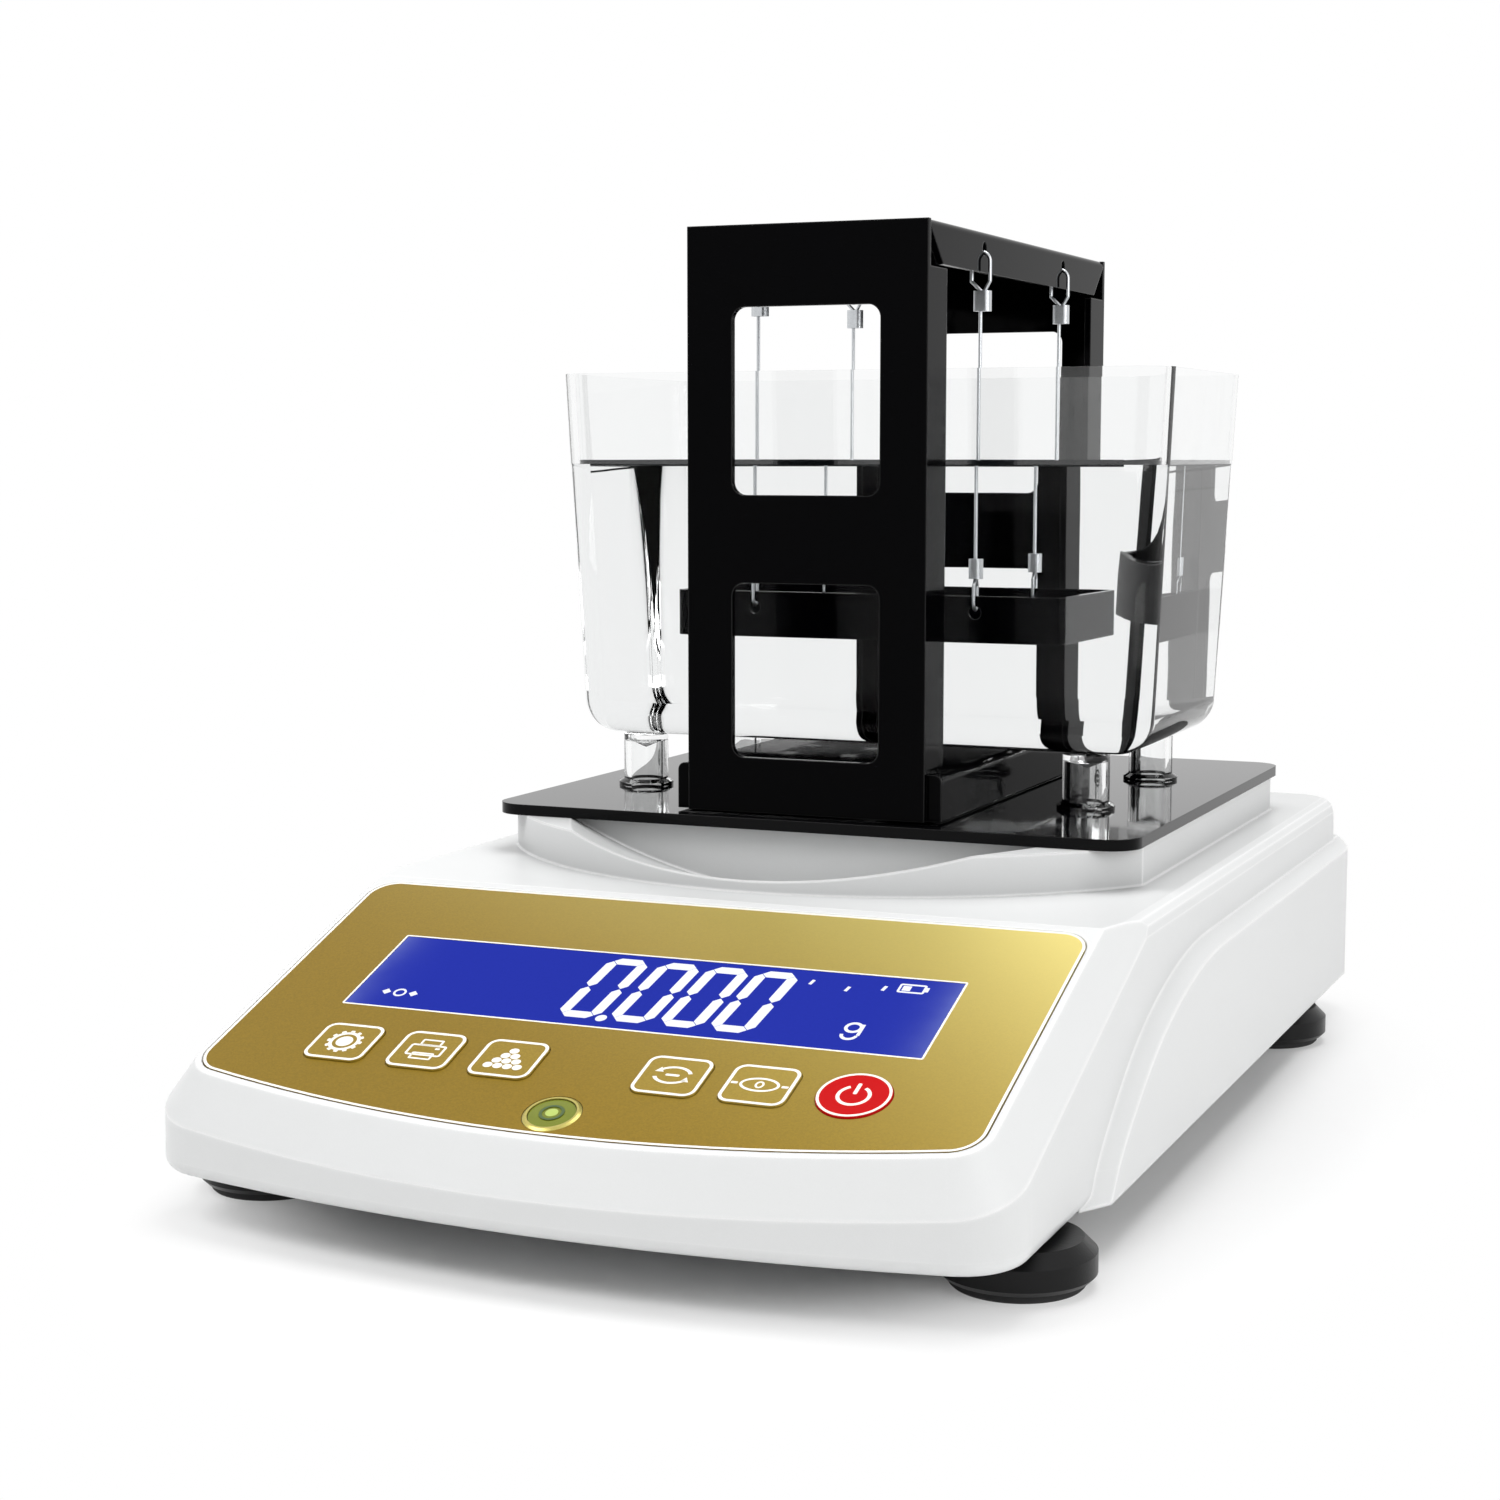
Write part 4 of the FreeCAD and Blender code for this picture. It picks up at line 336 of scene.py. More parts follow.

# %% [markdown]
# ## Finishes of the housing and the workings
#
# The cover is pearl-white ABS with a satin, lightly grained skin, and its bottom shell is the same
# plastic a touch greyer. Rubber soles are dull and grainy, the levelling wheels smoother. Inside are a
# rolled aluminium load cell, zinc-plated screws, brass inserts and green circuit boards: they are hidden
# in the portrait, but the model can be opened, so they get their own metal and board finishes too.

# %% Plain finishes
# The housing and shell get painted highlights along their edges and painted shade in their hollows.
FINISHES = {
    "housing_white": new_finish("pearl_abs", srgb(HOUSING_WHITE), 0.34, grain=2600, contrast=0.03, bump=0.1,
                                marks=0.06, edge=0.0012, painted_glint=0.9, painted_shade=0.42, Specular_IOR_Level=0.4),
    "shell_grey": new_finish("shell_abs", srgb("dfe0e0"), 0.42, grain=2200, contrast=0.04, bump=0.2,
                             marks=0.08, edge=0.0006, painted_glint=0.5, painted_shade=0.4),
    "switch_black": new_finish("moulded_black", srgb("1b1b1d"), 0.42, grain=3000, contrast=0.12, bump=0.2),
    "wheel_black": new_finish("wheel_nylon", srgb("070708"), 0.34, grain=1500, contrast=0.2, bump=0.25,
                              marks=0.18, Specular_IOR_Level=0.22),
    "sole_rubber": new_finish("sole_rubber", srgb("0d0d0e"), 0.72, grain=1100, contrast=0.25, bump=0.5,
                              marks=0.2),
    "cell_aluminium": new_finish("rolled_aluminium", srgb("c9cccf"), 0.34, 1.0, contrast=0.05, bump=0.25,
                                 lines=(2500.0, 60.0, 2500.0)),
    "fastener_steel": new_finish("zinc_plated_steel", srgb("b9bcc0"), 0.3, 1.0, contrast=0.1, bump=0.2,
                                 lines=(900.0, 900.0, 3200.0)),
    "ring_chrome": new_finish("ring_chrome", srgb("b9ad5e"), 0.3, 0.7, contrast=0.04, bump=0.05,
                              lines=(1800.0, 1800.0, 300.0)),
    "wire_steel": new_finish("stranded_wire", srgb("c8cbce"), 0.3, 1.0, contrast=0.15, bump=0.5,
                             lines=(1500.0, 1500.0, 4200.0)),
    "insert_brass": new_finish("turned_brass", srgb("c9a35c"), 0.3, 1.0, contrast=0.08, bump=0.3,
                               lines=(800.0, 800.0, 3000.0)),
    "battery_grey": new_finish("battery_case", srgb("4a4d52"), 0.5, grain=1200, contrast=0.12, bump=0.3),
    "board_green": new_finish("board_mask", srgb("1f6b3b"), 0.3, grain=900, contrast=0.22, bump=0.15,
                              Coat_Weight=0.5, Coat_Roughness=0.15),
}
print(len(FINISHES), "plain finishes")

# %% [markdown]
# ## Black plate
#
# The frame, its base and the plate under the tank are stove-enamelled steel, almost a mirror in the
# photograph. Seen square on they are as good as black, and only at a flat angle do they mirror what
# stands on them, so the specular level is low and the roughness lower still. A very broad, shallow bump
# gives the slight waviness that keeps enamel from looking like glass.

# %% Enamel for the plates
# The enamels get a faint painted highlight along their edges.
FINISHES["plate_black"] = new_finish("black_enamel", srgb("030304"), 0.07, grain=340, contrast=0.5, bump=0.03,
                                     marks=0.08, edge=0.0005, painted_glint=0.025, Specular_IOR_Level=0.03)
mirror_enamel = new_finish("mirror_enamel", srgb("030304"), 0.05, grain=340, contrast=0.5, bump=0.02,
                           marks=0.05, edge=0.0003, painted_glint=0.015, Specular_IOR_Level=0.1)
print("two enamels: one for the frame, one for the plate under the tank")

# %% [markdown]
# ## Gold panel film
#
# The key panel is a printed film with a fine metallic glitter. Its colour is painted darker on the left
# and paler towards the right and the top, a painted highlight where the film meets the light. Flake
# glitter is a Voronoi pattern: each tiny cell gets its own tone. The film also carries the keys, so
# the keys share its colour and its painted highlight.

# %% Gold film with flakes
FLAKE_SCALE, FLAKE_CONTRAST = 2600.0, 0.16
SWEEP_ACROSS, SWEEP_UP, SWEEP_START = 3.5, 18.0, -0.62
PAINTED_LIGHT_GOLD = "e3d482"


def gold_film(name, dark):
    material = new_finish(name, srgb(dark), 0.4, metallic=0.35, grain=2400, contrast=0.1, bump=0.08,
                          marks=0.05, Specular_IOR_Level=0.15)
    tree = material.node_tree
    shader = tree.nodes["Principled BSDF"]
    coordinates = tree.nodes.new("ShaderNodeTexCoord")
    flakes = tree.nodes.new("ShaderNodeTexVoronoi")
    flakes.inputs["Scale"].default_value = FLAKE_SCALE
    tree.links.new(coordinates.outputs["Object"], flakes.inputs["Vector"])
    flake_tone = tree.nodes.new("ShaderNodeSeparateColor")
    tree.links.new(flakes.outputs["Color"], flake_tone.inputs["Color"])
    split = tree.nodes.new("ShaderNodeSeparateXYZ")
    tree.links.new(coordinates.outputs["Object"], split.inputs["Vector"])
    # Painted highlight: the colour turns paler towards the right and the top.
    painted_light_sweep = add_math(tree, "MULTIPLY_ADD", split.outputs["X"], SWEEP_ACROSS, SWEEP_START)
    painted_light_sweep = add_math(tree, "MULTIPLY_ADD", split.outputs["Z"], SWEEP_UP, painted_light_sweep)
    painted_light_sweep = add_math(tree, "MAXIMUM", painted_light_sweep, 0.0)
    shade = add_math(tree, "MULTIPLY_ADD", flake_tone.outputs["Red"], FLAKE_CONTRAST, 1 - FLAKE_CONTRAST / 2)
    old = shader.inputs["Base Color"].links[0].from_socket
    paler = tree.nodes.new("ShaderNodeMix")
    paler.data_type = "RGBA"
    tree.links.new(add_math(tree, "MULTIPLY", painted_light_sweep, painted_light_sweep), paler.inputs["Factor"])
    tree.links.new(tint(tree, old, shade), paler.inputs[6])
    paler.inputs[7].default_value = (*srgb(PAINTED_LIGHT_GOLD), 1)
    tree.links.new(paler.outputs[2], shader.inputs["Base Color"])
    return material


FINISHES["overlay_gold"] = gold_film("gold_film", "866c18")
FINISHES["key_ivory"] = gold_film("gold_key", "937a28")
FINISHES["key_red"] = new_finish("red_key", srgb("c00408"), 0.45, grain=1800, contrast=0.06, bump=0.03,
                                 marks=0.03, Specular_IOR_Level=0.08)
print("gold film, gold keys and the red key are ready")

# %% [markdown]
# ## Clear parts
#
# The tank is injection-moulded clear acrylic with an index of 1.49. A wall, the water's skin and the
# wall's other side would be three surfaces in a fraction of a millimetre, each with a reflection that
# wetted acrylic doesn't have. So below the water line the tank's own skin fades out, and the water, which
# reaches almost through the wall, stands for both: one clean surface with an index of 1.33. The specular
# tint keeps the square-on mirror image weak, as a polarised product photograph does. Light through clear
# walls is costly to trace and their shadows would come out black, so the Light Path node lowers Alpha for
# shadow rays alone.

# %% Clear acrylic, window and water
WATER_LINE = 0.176
WAVE_DEPTH, SHADOW_SHARE = 0.001, 0.15


def clear_finish(name, tone, index, ripple, scale, mirror=0.25, wetted=False):
    material = new_finish(name, tone, 0.0, grain=600, contrast=0.02, bump=0.1, marks=0.02,
                          IOR=index, Transmission_Weight=1.0, Specular_Tint=(mirror, mirror, mirror, 1.0))
    tree = material.node_tree
    shader = tree.nodes["Principled BSDF"]
    coordinates = tree.nodes.new("ShaderNodeTexCoord")
    waves = tree.nodes.new("ShaderNodeTexNoise")
    waves.inputs["Scale"].default_value = scale
    tree.links.new(coordinates.outputs["Object"], waves.inputs["Vector"])
    bump_node = next(n for n in tree.nodes if n.bl_idname == "ShaderNodeBump")
    bump_node.inputs["Strength"].default_value = ripple
    bump_node.inputs["Distance"].default_value = WAVE_DEPTH
    tree.links.new(waves.outputs["Fac"], bump_node.inputs["Height"])
    light_path = tree.nodes.new("ShaderNodeLightPath")
    solid = add_math(tree, "MULTIPLY_ADD", light_path.outputs["Is Shadow Ray"], SHADOW_SHARE - 1, 1.0)
    if wetted:
        split = tree.nodes.new("ShaderNodeSeparateXYZ")
        tree.links.new(coordinates.outputs["Object"], split.inputs["Vector"])
        dry = add_math(tree, "GREATER_THAN", split.outputs["Z"], WATER_LINE)
        solid = add_math(tree, "MULTIPLY", solid, dry)
    tree.links.new(solid, shader.inputs["Alpha"])
    return material


FINISHES["tank_clear"] = clear_finish("clear_acrylic", (0.965, 0.97, 0.97), 1.49, 0.12, 22.0, 0.6)
FINISHES["window_clear"] = clear_finish("window_acrylic", (0.97, 0.98, 0.99), 1.49, 0.02, 30.0)
wetted_tank = clear_finish("wetted_acrylic", (0.955, 0.96, 0.96), 1.49, 0.12, 22.0, 0.8, wetted=True)
water = clear_finish("still_water", (0.86, 0.87, 0.87), 1.33, 0.12, 24.0)
print("tank, window and water are ready")

# %% [markdown]
# ## Display blue and level green
#
# The display is back-lit: it gives light of its own, deep blue with brighter patches at both ends where
# the lamps of the backlight sit. A mask made from the distance to the middle mixes that pale glow into
# the emission colour. The film itself is dark and dull, so that the room doesn't wash the blue out. The
# bubble level is green fluid in a clear vial, and a glossy green stands for it.

# %% Lit blue and vial green
HALF_DISPLAY, GLOW_FALL = 0.0735, 22.0
GLOW_COLOUR = (0.5, 0.6, 0.95, 1)


def lit_finish(name, colour, strength, glow=0.0):
    material = new_finish(name, tuple(0.1 * c for c in colour), 0.35, bump=0.02, marks=0.05,
                          Specular_IOR_Level=0.0, Emission_Strength=strength)
    tree = material.node_tree
    coordinates = tree.nodes.new("ShaderNodeTexCoord")
    split = tree.nodes.new("ShaderNodeSeparateXYZ")
    tree.links.new(coordinates.outputs["Object"], split.inputs["Vector"])
    ends = add_math(tree, "MULTIPLY", add_math(tree, "ABSOLUTE", split.outputs["X"], None), 1 / HALF_DISPLAY)
    clouds = tree.nodes.new("ShaderNodeTexNoise")
    clouds.inputs["Scale"].default_value = 60.0
    tree.links.new(coordinates.outputs["Object"], clouds.inputs["Vector"])
    patchy = add_math(tree, "MULTIPLY", clouds.outputs["Fac"], glow)
    mask = add_math(tree, "MULTIPLY", add_math(tree, "POWER", ends, GLOW_FALL), patchy)
    speckle = use_group(tree, grain_group, Colour=(*colour, 1), Scale=1400.0, Contrast=0.12)
    paler = tree.nodes.new("ShaderNodeMix")
    paler.data_type = "RGBA"
    tree.links.new(mask, paler.inputs["Factor"])
    tree.links.new(speckle.outputs["Colour"], paler.inputs[6])
    paler.inputs[7].default_value = GLOW_COLOUR
    tree.links.new(paler.outputs[2], tree.nodes["Principled BSDF"].inputs["Emission Color"])
    return material


FINISHES["display_blue"] = lit_finish("display_body", srgb("2636a8"), 0.5)
display_film = lit_finish("display_film", srgb("2936a9"), 0.95, 0.4)
display_white = lit_finish("display_white", srgb("f4f7ff"), 1.0)
FINISHES["level_green"] = new_finish("level_green", srgb("767f28"), 0.2, grain=500, contrast=0.2, bump=0.03,
                                     Specular_IOR_Level=0.18)
print("display and level are ready")

# %% [markdown]
# ## Giving every CAD node its finish
#
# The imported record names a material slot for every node. Looking the finish up by slot keeps the picture
# and the record in step: if a part moved to another slot, its finish would follow. Two nodes get a
# variant of their slot's finish: the tank, because it is filled, and the plate under it, which is
# shinier.

# %% Assign the finishes
slot_of = {part["node"]: part["material_slot"] for part in frame["record"]["subparts"]}
for node_name, obj in nodes.items():
    obj.data.materials.clear()
    obj.data.materials.append(FINISHES[slot_of[node_name]])
nodes["tank"].data.materials[0] = wetted_tank
nodes["base_plate"].data.materials[0] = mirror_enamel
print(len(slot_of), "nodes dressed with", len(set(slot_of.values())), "finishes")

# %% [markdown]
# One solid doesn't stay stiff: the load cell is a bar whose rear end is bolted to the housing while its
# front end goes down with the weighing frame. A copy of its mesh, with its place baked into its points,
# stands for it.

# %% A copy of the load cell bar
bar = bpy.data.objects.new("load_cell_bar", nodes["load_cell"].data.copy())
scene.collection.objects.link(bar)
bar.matrix_world = nodes["load_cell"].matrix_world.copy()
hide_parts("load_cell")
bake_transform(bar)

# %% [markdown]
# ## Flat shapes for printing
#
# Printed marks are thin plates. A rectangle starts as a one-cell grid, its corners are rounded with a
# vertex bevel, an inset turns it into an outline, and an extrusion gives it a hair of thickness. A disc
# starts as a filled circle, and an arc is one short edge spun round a centre. With those three, every
# pictogram on the panel can be drawn.

# %% Plates, discs and arcs
INK = 0.06


def thicken(bm, faces, height):
    """Raises flat faces by a thickness and closes the sides."""
    lifted = bmesh.ops.extrude_face_region(bm, geom=faces)["geom"]
    points = [part for part in lifted if isinstance(part, bmesh.types.BMVert)]
    bmesh.ops.translate(bm, vec=(0, 0, height), verts=points)


def keep_band(bm, faces, band):
    """Cuts flat faces down to an even band along their outline."""
    inset = bmesh.ops.inset_region(bm, faces=faces, thickness=band, use_boundary=True, use_even_offset=True)
    bmesh.ops.delete(bm, geom=faces, context="FACES")
    return inset["faces"]


def add_plate(bm, x, y, width, height, radius=0.0, band=0.0, thick=INK, turn=0.0, steps=5):
    made = bmesh.ops.create_grid(bm, x_segments=1, y_segments=1, size=0.5)
    bmesh.ops.scale(bm, vec=(width, height, 1), verts=made["verts"])
    place = Matrix.Translation((x, y, 0)) @ Matrix.Rotation(math.radians(turn), 4, "Z")
    bmesh.ops.transform(bm, matrix=place, verts=made["verts"])
    face = made["verts"][0].link_faces[0]
    if radius:
        rounded = bmesh.ops.bevel(bm, geom=list(face.verts), offset=radius, segments=steps, affect="VERTICES",
                                  profile=0.5, material=-1)
        face = max((f for v in rounded["verts"] for f in v.link_faces), key=lambda f: f.calc_area())
    thicken(bm, keep_band(bm, [face], band) if band else [face], thick)


def add_disc(bm, x, y, radius, band=0.0, thick=INK, steps=32, wide=1.0):
    made = bmesh.ops.create_circle(bm, cap_ends=True, radius=radius, segments=steps)
    bmesh.ops.scale(bm, vec=(wide, 1, 1), verts=made["verts"])
    bmesh.ops.translate(bm, vec=(x, y, 0), verts=made["verts"])
    face = made["verts"][0].link_faces[0]
    thicken(bm, keep_band(bm, [face], band) if band else [face], thick)


def add_arc(bm, x, y, radius, band, start, end, thick=INK, steps=24, wide=1.0):
    before = set(bm.faces)
    inner, outer = (bm.verts.new((radius + side * band / 2, 0, 0)) for side in (-1, 1))
    edge = bm.edges.new((inner, outer))
    first = Matrix.Rotation(math.radians(start), 3, "Z")
    bmesh.ops.rotate(bm, cent=(0, 0, 0), matrix=first, verts=[inner, outer])
    bmesh.ops.spin(bm, geom=[edge, inner, outer], cent=(0, 0, 0), axis=(0, 0, 1),
                   angle=math.radians(end - start), steps=steps, use_merge=False)
    faces = [f for f in bm.faces if f not in before]
    verts = list({v for f in faces for v in f.verts})
    bmesh.ops.scale(bm, vec=(wide, 1, 1), verts=verts)
    bmesh.ops.translate(bm, vec=(x, y, 0), verts=verts)
    thicken(bm, faces, thick)


print("flat shapes: plate, disc, arc")

# %% [markdown]
# ## The lit display
#
# The display shows four zeros with a point, a unit and a few small status marks. It is 147 mm by 32 mm
# and lies flush in the film. Each digit is built as real displays are, from seven bars with pointed ends:
# a grid cell whose corners are cut at half the bar's width becomes the six-sided bar. Only the six outer
# bars of a zero are lit, and one shearing matrix leans the whole row. The unit g is a ring and a hooked
# arc, so that it needs no font.

# %% The blue film and its digits
DISPLAY_MIDDLE = 8.0
FILM_WIDTH, FILM_HEIGHT, FILM_DEPTH, SIGN_DEPTH = 146.9, 31.9, -0.06, -0.03
DIGIT_WIDTH, DIGIT_HEIGHT, STROKE, BAR_GAP, DIGIT_RAISE, LEAN = 10.9, 27.0, 2.7, 0.3, 0.6, 0.1
DIGIT_PLACES = (-11.6, 1.9, 14.6, 27.2)
on_film = on_panel(0, DISPLAY_MIDDLE, SIGN_DEPTH)
film = bmesh.new()
add_plate(film, 0, 0, FILM_WIDTH, FILM_HEIGHT, radius=0.3, thick=0.035, steps=2)
finish_piece("display_front", film, display_film, "housing",
             on_panel(0, DISPLAY_MIDDLE, FILM_DEPTH))


def add_bar(bm, x, y, length, upright):
    size_x, size_y = (STROKE, length) if upright else (length, STROKE)
    add_plate(bm, x, y + DIGIT_RAISE, size_x, size_y, radius=STROKE * 0.499, steps=1)


digits = bmesh.new()
arm = DIGIT_HEIGHT / 2 - STROKE / 2
side = DIGIT_WIDTH / 2 - STROKE / 2
for x in DIGIT_PLACES:
    for y in (-arm, arm):
        add_bar(digits, x, y, 2 * side - 0.2, False)
    for column in (-side, side):
        for y in (-arm / 2, arm / 2):
            add_bar(digits, x + column, y, arm - BAR_GAP, True)
add_disc(digits, -5.1, -12.3, 1.35, steps=20)
lean = Matrix(((1, LEAN, 0, 0), (0, 1, 0, 0), (0, 0, 1, 0), (0, 0, 0, 1)))
bmesh.ops.transform(digits, matrix=lean, verts=digits.verts)
finish_piece("display_digits", digits, display_white, "housing", on_film)

# %% [markdown]
# The small marks beside the digits follow the photograph in place and size, as plain signs: a battery
# outline, three short strokes, and at the lower left a stable-weight sign made of a small ring between
# two pointed marks.

# %% The unit and the status marks
marks = bmesh.new()
add_arc(marks, 54.2, -6.4, 1.8, 0.8, 0, 360, steps=24)
add_arc(marks, 54.2, -9.4, 1.8, 0.8, 180, 350, steps=16)
add_plate(marks, 56.2, -7.2, 0.8, 4.6)
for x, y in ((37.5, 11.0), (46.9, 9.4), (55.4, 11.0)):
    add_plate(marks, x, y, 0.8, 2.0, turn=-12)
add_plate(marks, 61.9, 11.8, 6.6, 3.8, radius=0.6, band=0.55)
add_plate(marks, 65.6, 11.8, 0.7, 1.8)
add_plate(marks, 60.6, 11.8, 2.0, 2.0)
add_disc(marks, -61.7, -9.6, 1.7, band=0.55, steps=20)
for x in (-65.4, -58.0):
    add_disc(marks, x, -9.6, 1.2, steps=4)
finish_piece("display_marks", marks, display_white, "housing", on_film)

# %% [markdown]
# ## Pale lines on the panel
#
# A pale line frames the display. It lies on the film's top face, so it is a thin outline plate that
# stands a few hundredths of a millimetre proud.

# %% The line round the display
LINE_WIDTH, LINE_HEIGHT, LINE_DEPTH = 148.1, 33.1, -0.01
print_and_edge_highlight_white = new_finish("print_and_edge_highlight_white", srgb("fbf8ee"), 0.4, grain=3000, contrast=0.08, bump=0.05, marks=0.08)
line = bmesh.new()
add_plate(line, 0, 0, LINE_WIDTH, LINE_HEIGHT, radius=0.6, band=0.5, steps=3)
finish_piece("display_frame_line", line, print_and_edge_highlight_white, "housing",
             on_panel(0, DISPLAY_MIDDLE, LINE_DEPTH))

# %% [markdown]
# The film's edge gets a painted highlight, a pale band along its outline. The outline is bowed at the
# bottom, so it is taken from the film itself: the loop of edges that holds the point furthest to the right
# becomes one new face, and an inset of that face gives an even band along the edge.

# %% The painted highlight along the film's edge
EDGE_BAND, THIN_INK = 0.7, 0.05
border = bmesh.new()
border.from_mesh(nodes["panel_overlay"].data)
bmesh.ops.transform(border, matrix=PANEL.inverted(), verts=border.verts)
bmesh.ops.scale(border, vec=(1000, 1000, 1000), verts=border.verts)
bmesh.ops.delete(border, geom=[v for v in border.verts if v.co.z < -0.02], context="VERTS")
bmesh.ops.remove_doubles(border, verts=border.verts, dist=0.001)
rim_points = {max(border.verts, key=lambda v: v.co.x)}
found = set(rim_points)
while found:
    found = {e.other_vert(v) for v in found for e in v.link_edges if e.is_boundary} - rim_points
    rim_points |= found
rim_edges = [e for e in border.edges if e.is_boundary and e.verts[0] in rim_points]
bmesh.ops.delete(border, geom=list(border.faces), context="FACES_ONLY")
bmesh.ops.delete(border, geom=[v for v in border.verts if v not in rim_points], context="VERTS")
bmesh.ops.delete(border, geom=[e for e in border.edges if e not in rim_edges], context="EDGES")
whole = bmesh.ops.contextual_create(border, geom=rim_edges)["faces"]
# Painted highlight: a pale band along the film's edge stands in for the light the edge catches.
thicken(border, keep_band(border, whole, EDGE_BAND), THIN_INK)
finish_piece("panel_edge_line", border, print_and_edge_highlight_white, "housing", on_panel(0, 0))

# %% [markdown]
# ## Pictograms on the keys
#
# Five gold keys have a pale rounded outline and a pale sign: settings, printer, counting, switching and
# zero. The signs are plain ones that any instrument could carry. Each sign rides on its own key, so it
# sinks with the key when that is pressed.

# %% Outlines and signs
KEY_ROW = -25.0
KEY_PLACES = {"set_key": -63.5, "print_key": -41.5, "enter_key": -20.0, "mode_key": 21.0, "zero_key": 42.0}
POWER_PLACE = 64.0
OUTLINE_WIDTH, OUTLINE_HEIGHT, OUTLINE_DEPTH, KEY_SIGN_DEPTH = 15.7, 14.7, 0.48, 0.47


def settings_sign(bm):
    add_disc(bm, 0, 0, 2.1, steps=24)
    add_disc(bm, 0, 0, 3.9, band=0.9, steps=32)
    for turn in range(0, 360, 30):
        angle = math.radians(turn)
        add_plate(bm, 4.1 * math.cos(angle), 4.1 * math.sin(angle), 1.0, 1.1, radius=0.25, turn=turn, steps=2)


def printer_sign(bm):
    add_plate(bm, 0, -0.2, 9.4, 4.6, radius=0.8, band=0.6)
    add_plate(bm, 0, 3.0, 5.6, 2.6, radius=0.4, band=0.55)
    add_plate(bm, 0, -2.6, 5.8, 2.8, radius=0.4, band=0.55)
    add_plate(bm, 2.6, 0.7, 1.2, 0.7, radius=0.2, steps=2)


def counting_sign(bm):
    for row in range(4):
        for place in range(row + 1):
            add_disc(bm, (place - row / 2) * 2.5, 3.1 - row * 2.1, 1.08, steps=18, wide=1.1)


def switching_sign(bm):
    for turn in (0, 180):
        add_arc(bm, 0, 0.2, 3.1, 0.7, 20 + turn, 150 + turn, wide=1.35)
        tip = math.radians(150 + turn)
        add_disc(bm, 4.2 * math.cos(tip), 3.1 * math.sin(tip) + 0.2, 1.2, steps=3)
    add_plate(bm, 0, 0.2, 3.4, 0.8, radius=0.3, steps=2)


def zero_sign(bm):
    add_disc(bm, 0, 0, 2.7, band=0.65, steps=32, wide=1.75)
    add_disc(bm, 0, 0, 1.35, band=0.5, steps=24, wide=0.8)
    for x in (-6.0, 6.0):
        add_plate(bm, x, 0, 1.6, 0.8, radius=0.2, steps=2)


SIGNS = {"set_key": settings_sign, "print_key": printer_sign, "enter_key": counting_sign,
         "mode_key": switching_sign, "zero_key": zero_sign}
for key, across in KEY_PLACES.items():
    outline = bmesh.new()
    add_plate(outline, 0, 0, OUTLINE_WIDTH, OUTLINE_HEIGHT, radius=2.8, band=0.8, thick=THIN_INK, steps=6)
    finish_piece(key + "_outline", outline, print_and_edge_highlight_white, key,
                 on_panel(across, KEY_ROW, OUTLINE_DEPTH))
    sign = bmesh.new()
    SIGNS[key](sign)
    finish_piece(key + "_sign", sign, print_and_edge_highlight_white, key,
                 on_panel(across, KEY_ROW, KEY_SIGN_DEPTH))

# %% [markdown]
# The power key is red, with a pale rim and the usual sign of a broken ring and a bar.

# %% The power sign
power = bmesh.new()
add_disc(power, 0, 0, 8.3, band=0.65, steps=64)
add_arc(power, 0, -0.3, 3.5, 0.85, 120, 420, steps=36)
add_plate(power, 0, 2.3, 0.9, 4.2, radius=0.3, steps=2)
finish_piece("power_key_sign", power, print_and_edge_highlight_white, "power_key",
             on_panel(POWER_PLACE, KEY_ROW, KEY_SIGN_DEPTH))

# %% [markdown]
# ## The bubble in the level
#
# The level's vial has a fine dark circle, and the bubble floats in it as a bright low dome. The dome
# starts as an icosphere that is squashed almost flat; it rides on the housing with the vial.

# %% Circle and bubble
LEVEL_PLACE, DOME_RISE = on_panel(0, -43.3, 0.28), 0.06
circle_dark = new_finish("circle_dark", srgb("3b5518"), 0.3, grain=2000, contrast=0.2, bump=0.05)
circle = bmesh.new()
add_disc(circle, 0, 0, 2.9, band=0.7, thick=THIN_INK, steps=40)
finish_piece("level_circle", circle, circle_dark, "housing", LEVEL_PLACE)
bubble_green = new_finish("bubble_green", srgb("b4c862"), 0.15, grain=900, contrast=0.1, bump=0.02,
                          Specular_IOR_Level=0.4)
bubble = bmesh.new()
bmesh.ops.create_icosphere(bubble, subdivisions=4, radius=1.5)
bmesh.ops.scale(bubble, vec=(1, 1, DOME_RISE), verts=bubble.verts)
finish_piece("level_bubble", bubble, bubble_green, "housing", LEVEL_PLACE, smooth=True)

# %% [markdown]
# ## Small fittings at the back
#
# The serial port gets its dark insert with nine contacts and the two six-sided screws that hold a plug,
# and the power jack gets its middle pin. They are drawn flat too, on a matrix that looks out of the rear
# wall.

# %% Contacts, jack screws and the jack's pin
def on_back(x, y, z):
    turn = Matrix(((-1, 0, 0, 0), (0, 0, 1, 0), (0, 1, 0, 0), (0, 0, 0, 1)))
    return Matrix.Translation((x * MM, y * MM, z * MM)) @ turn


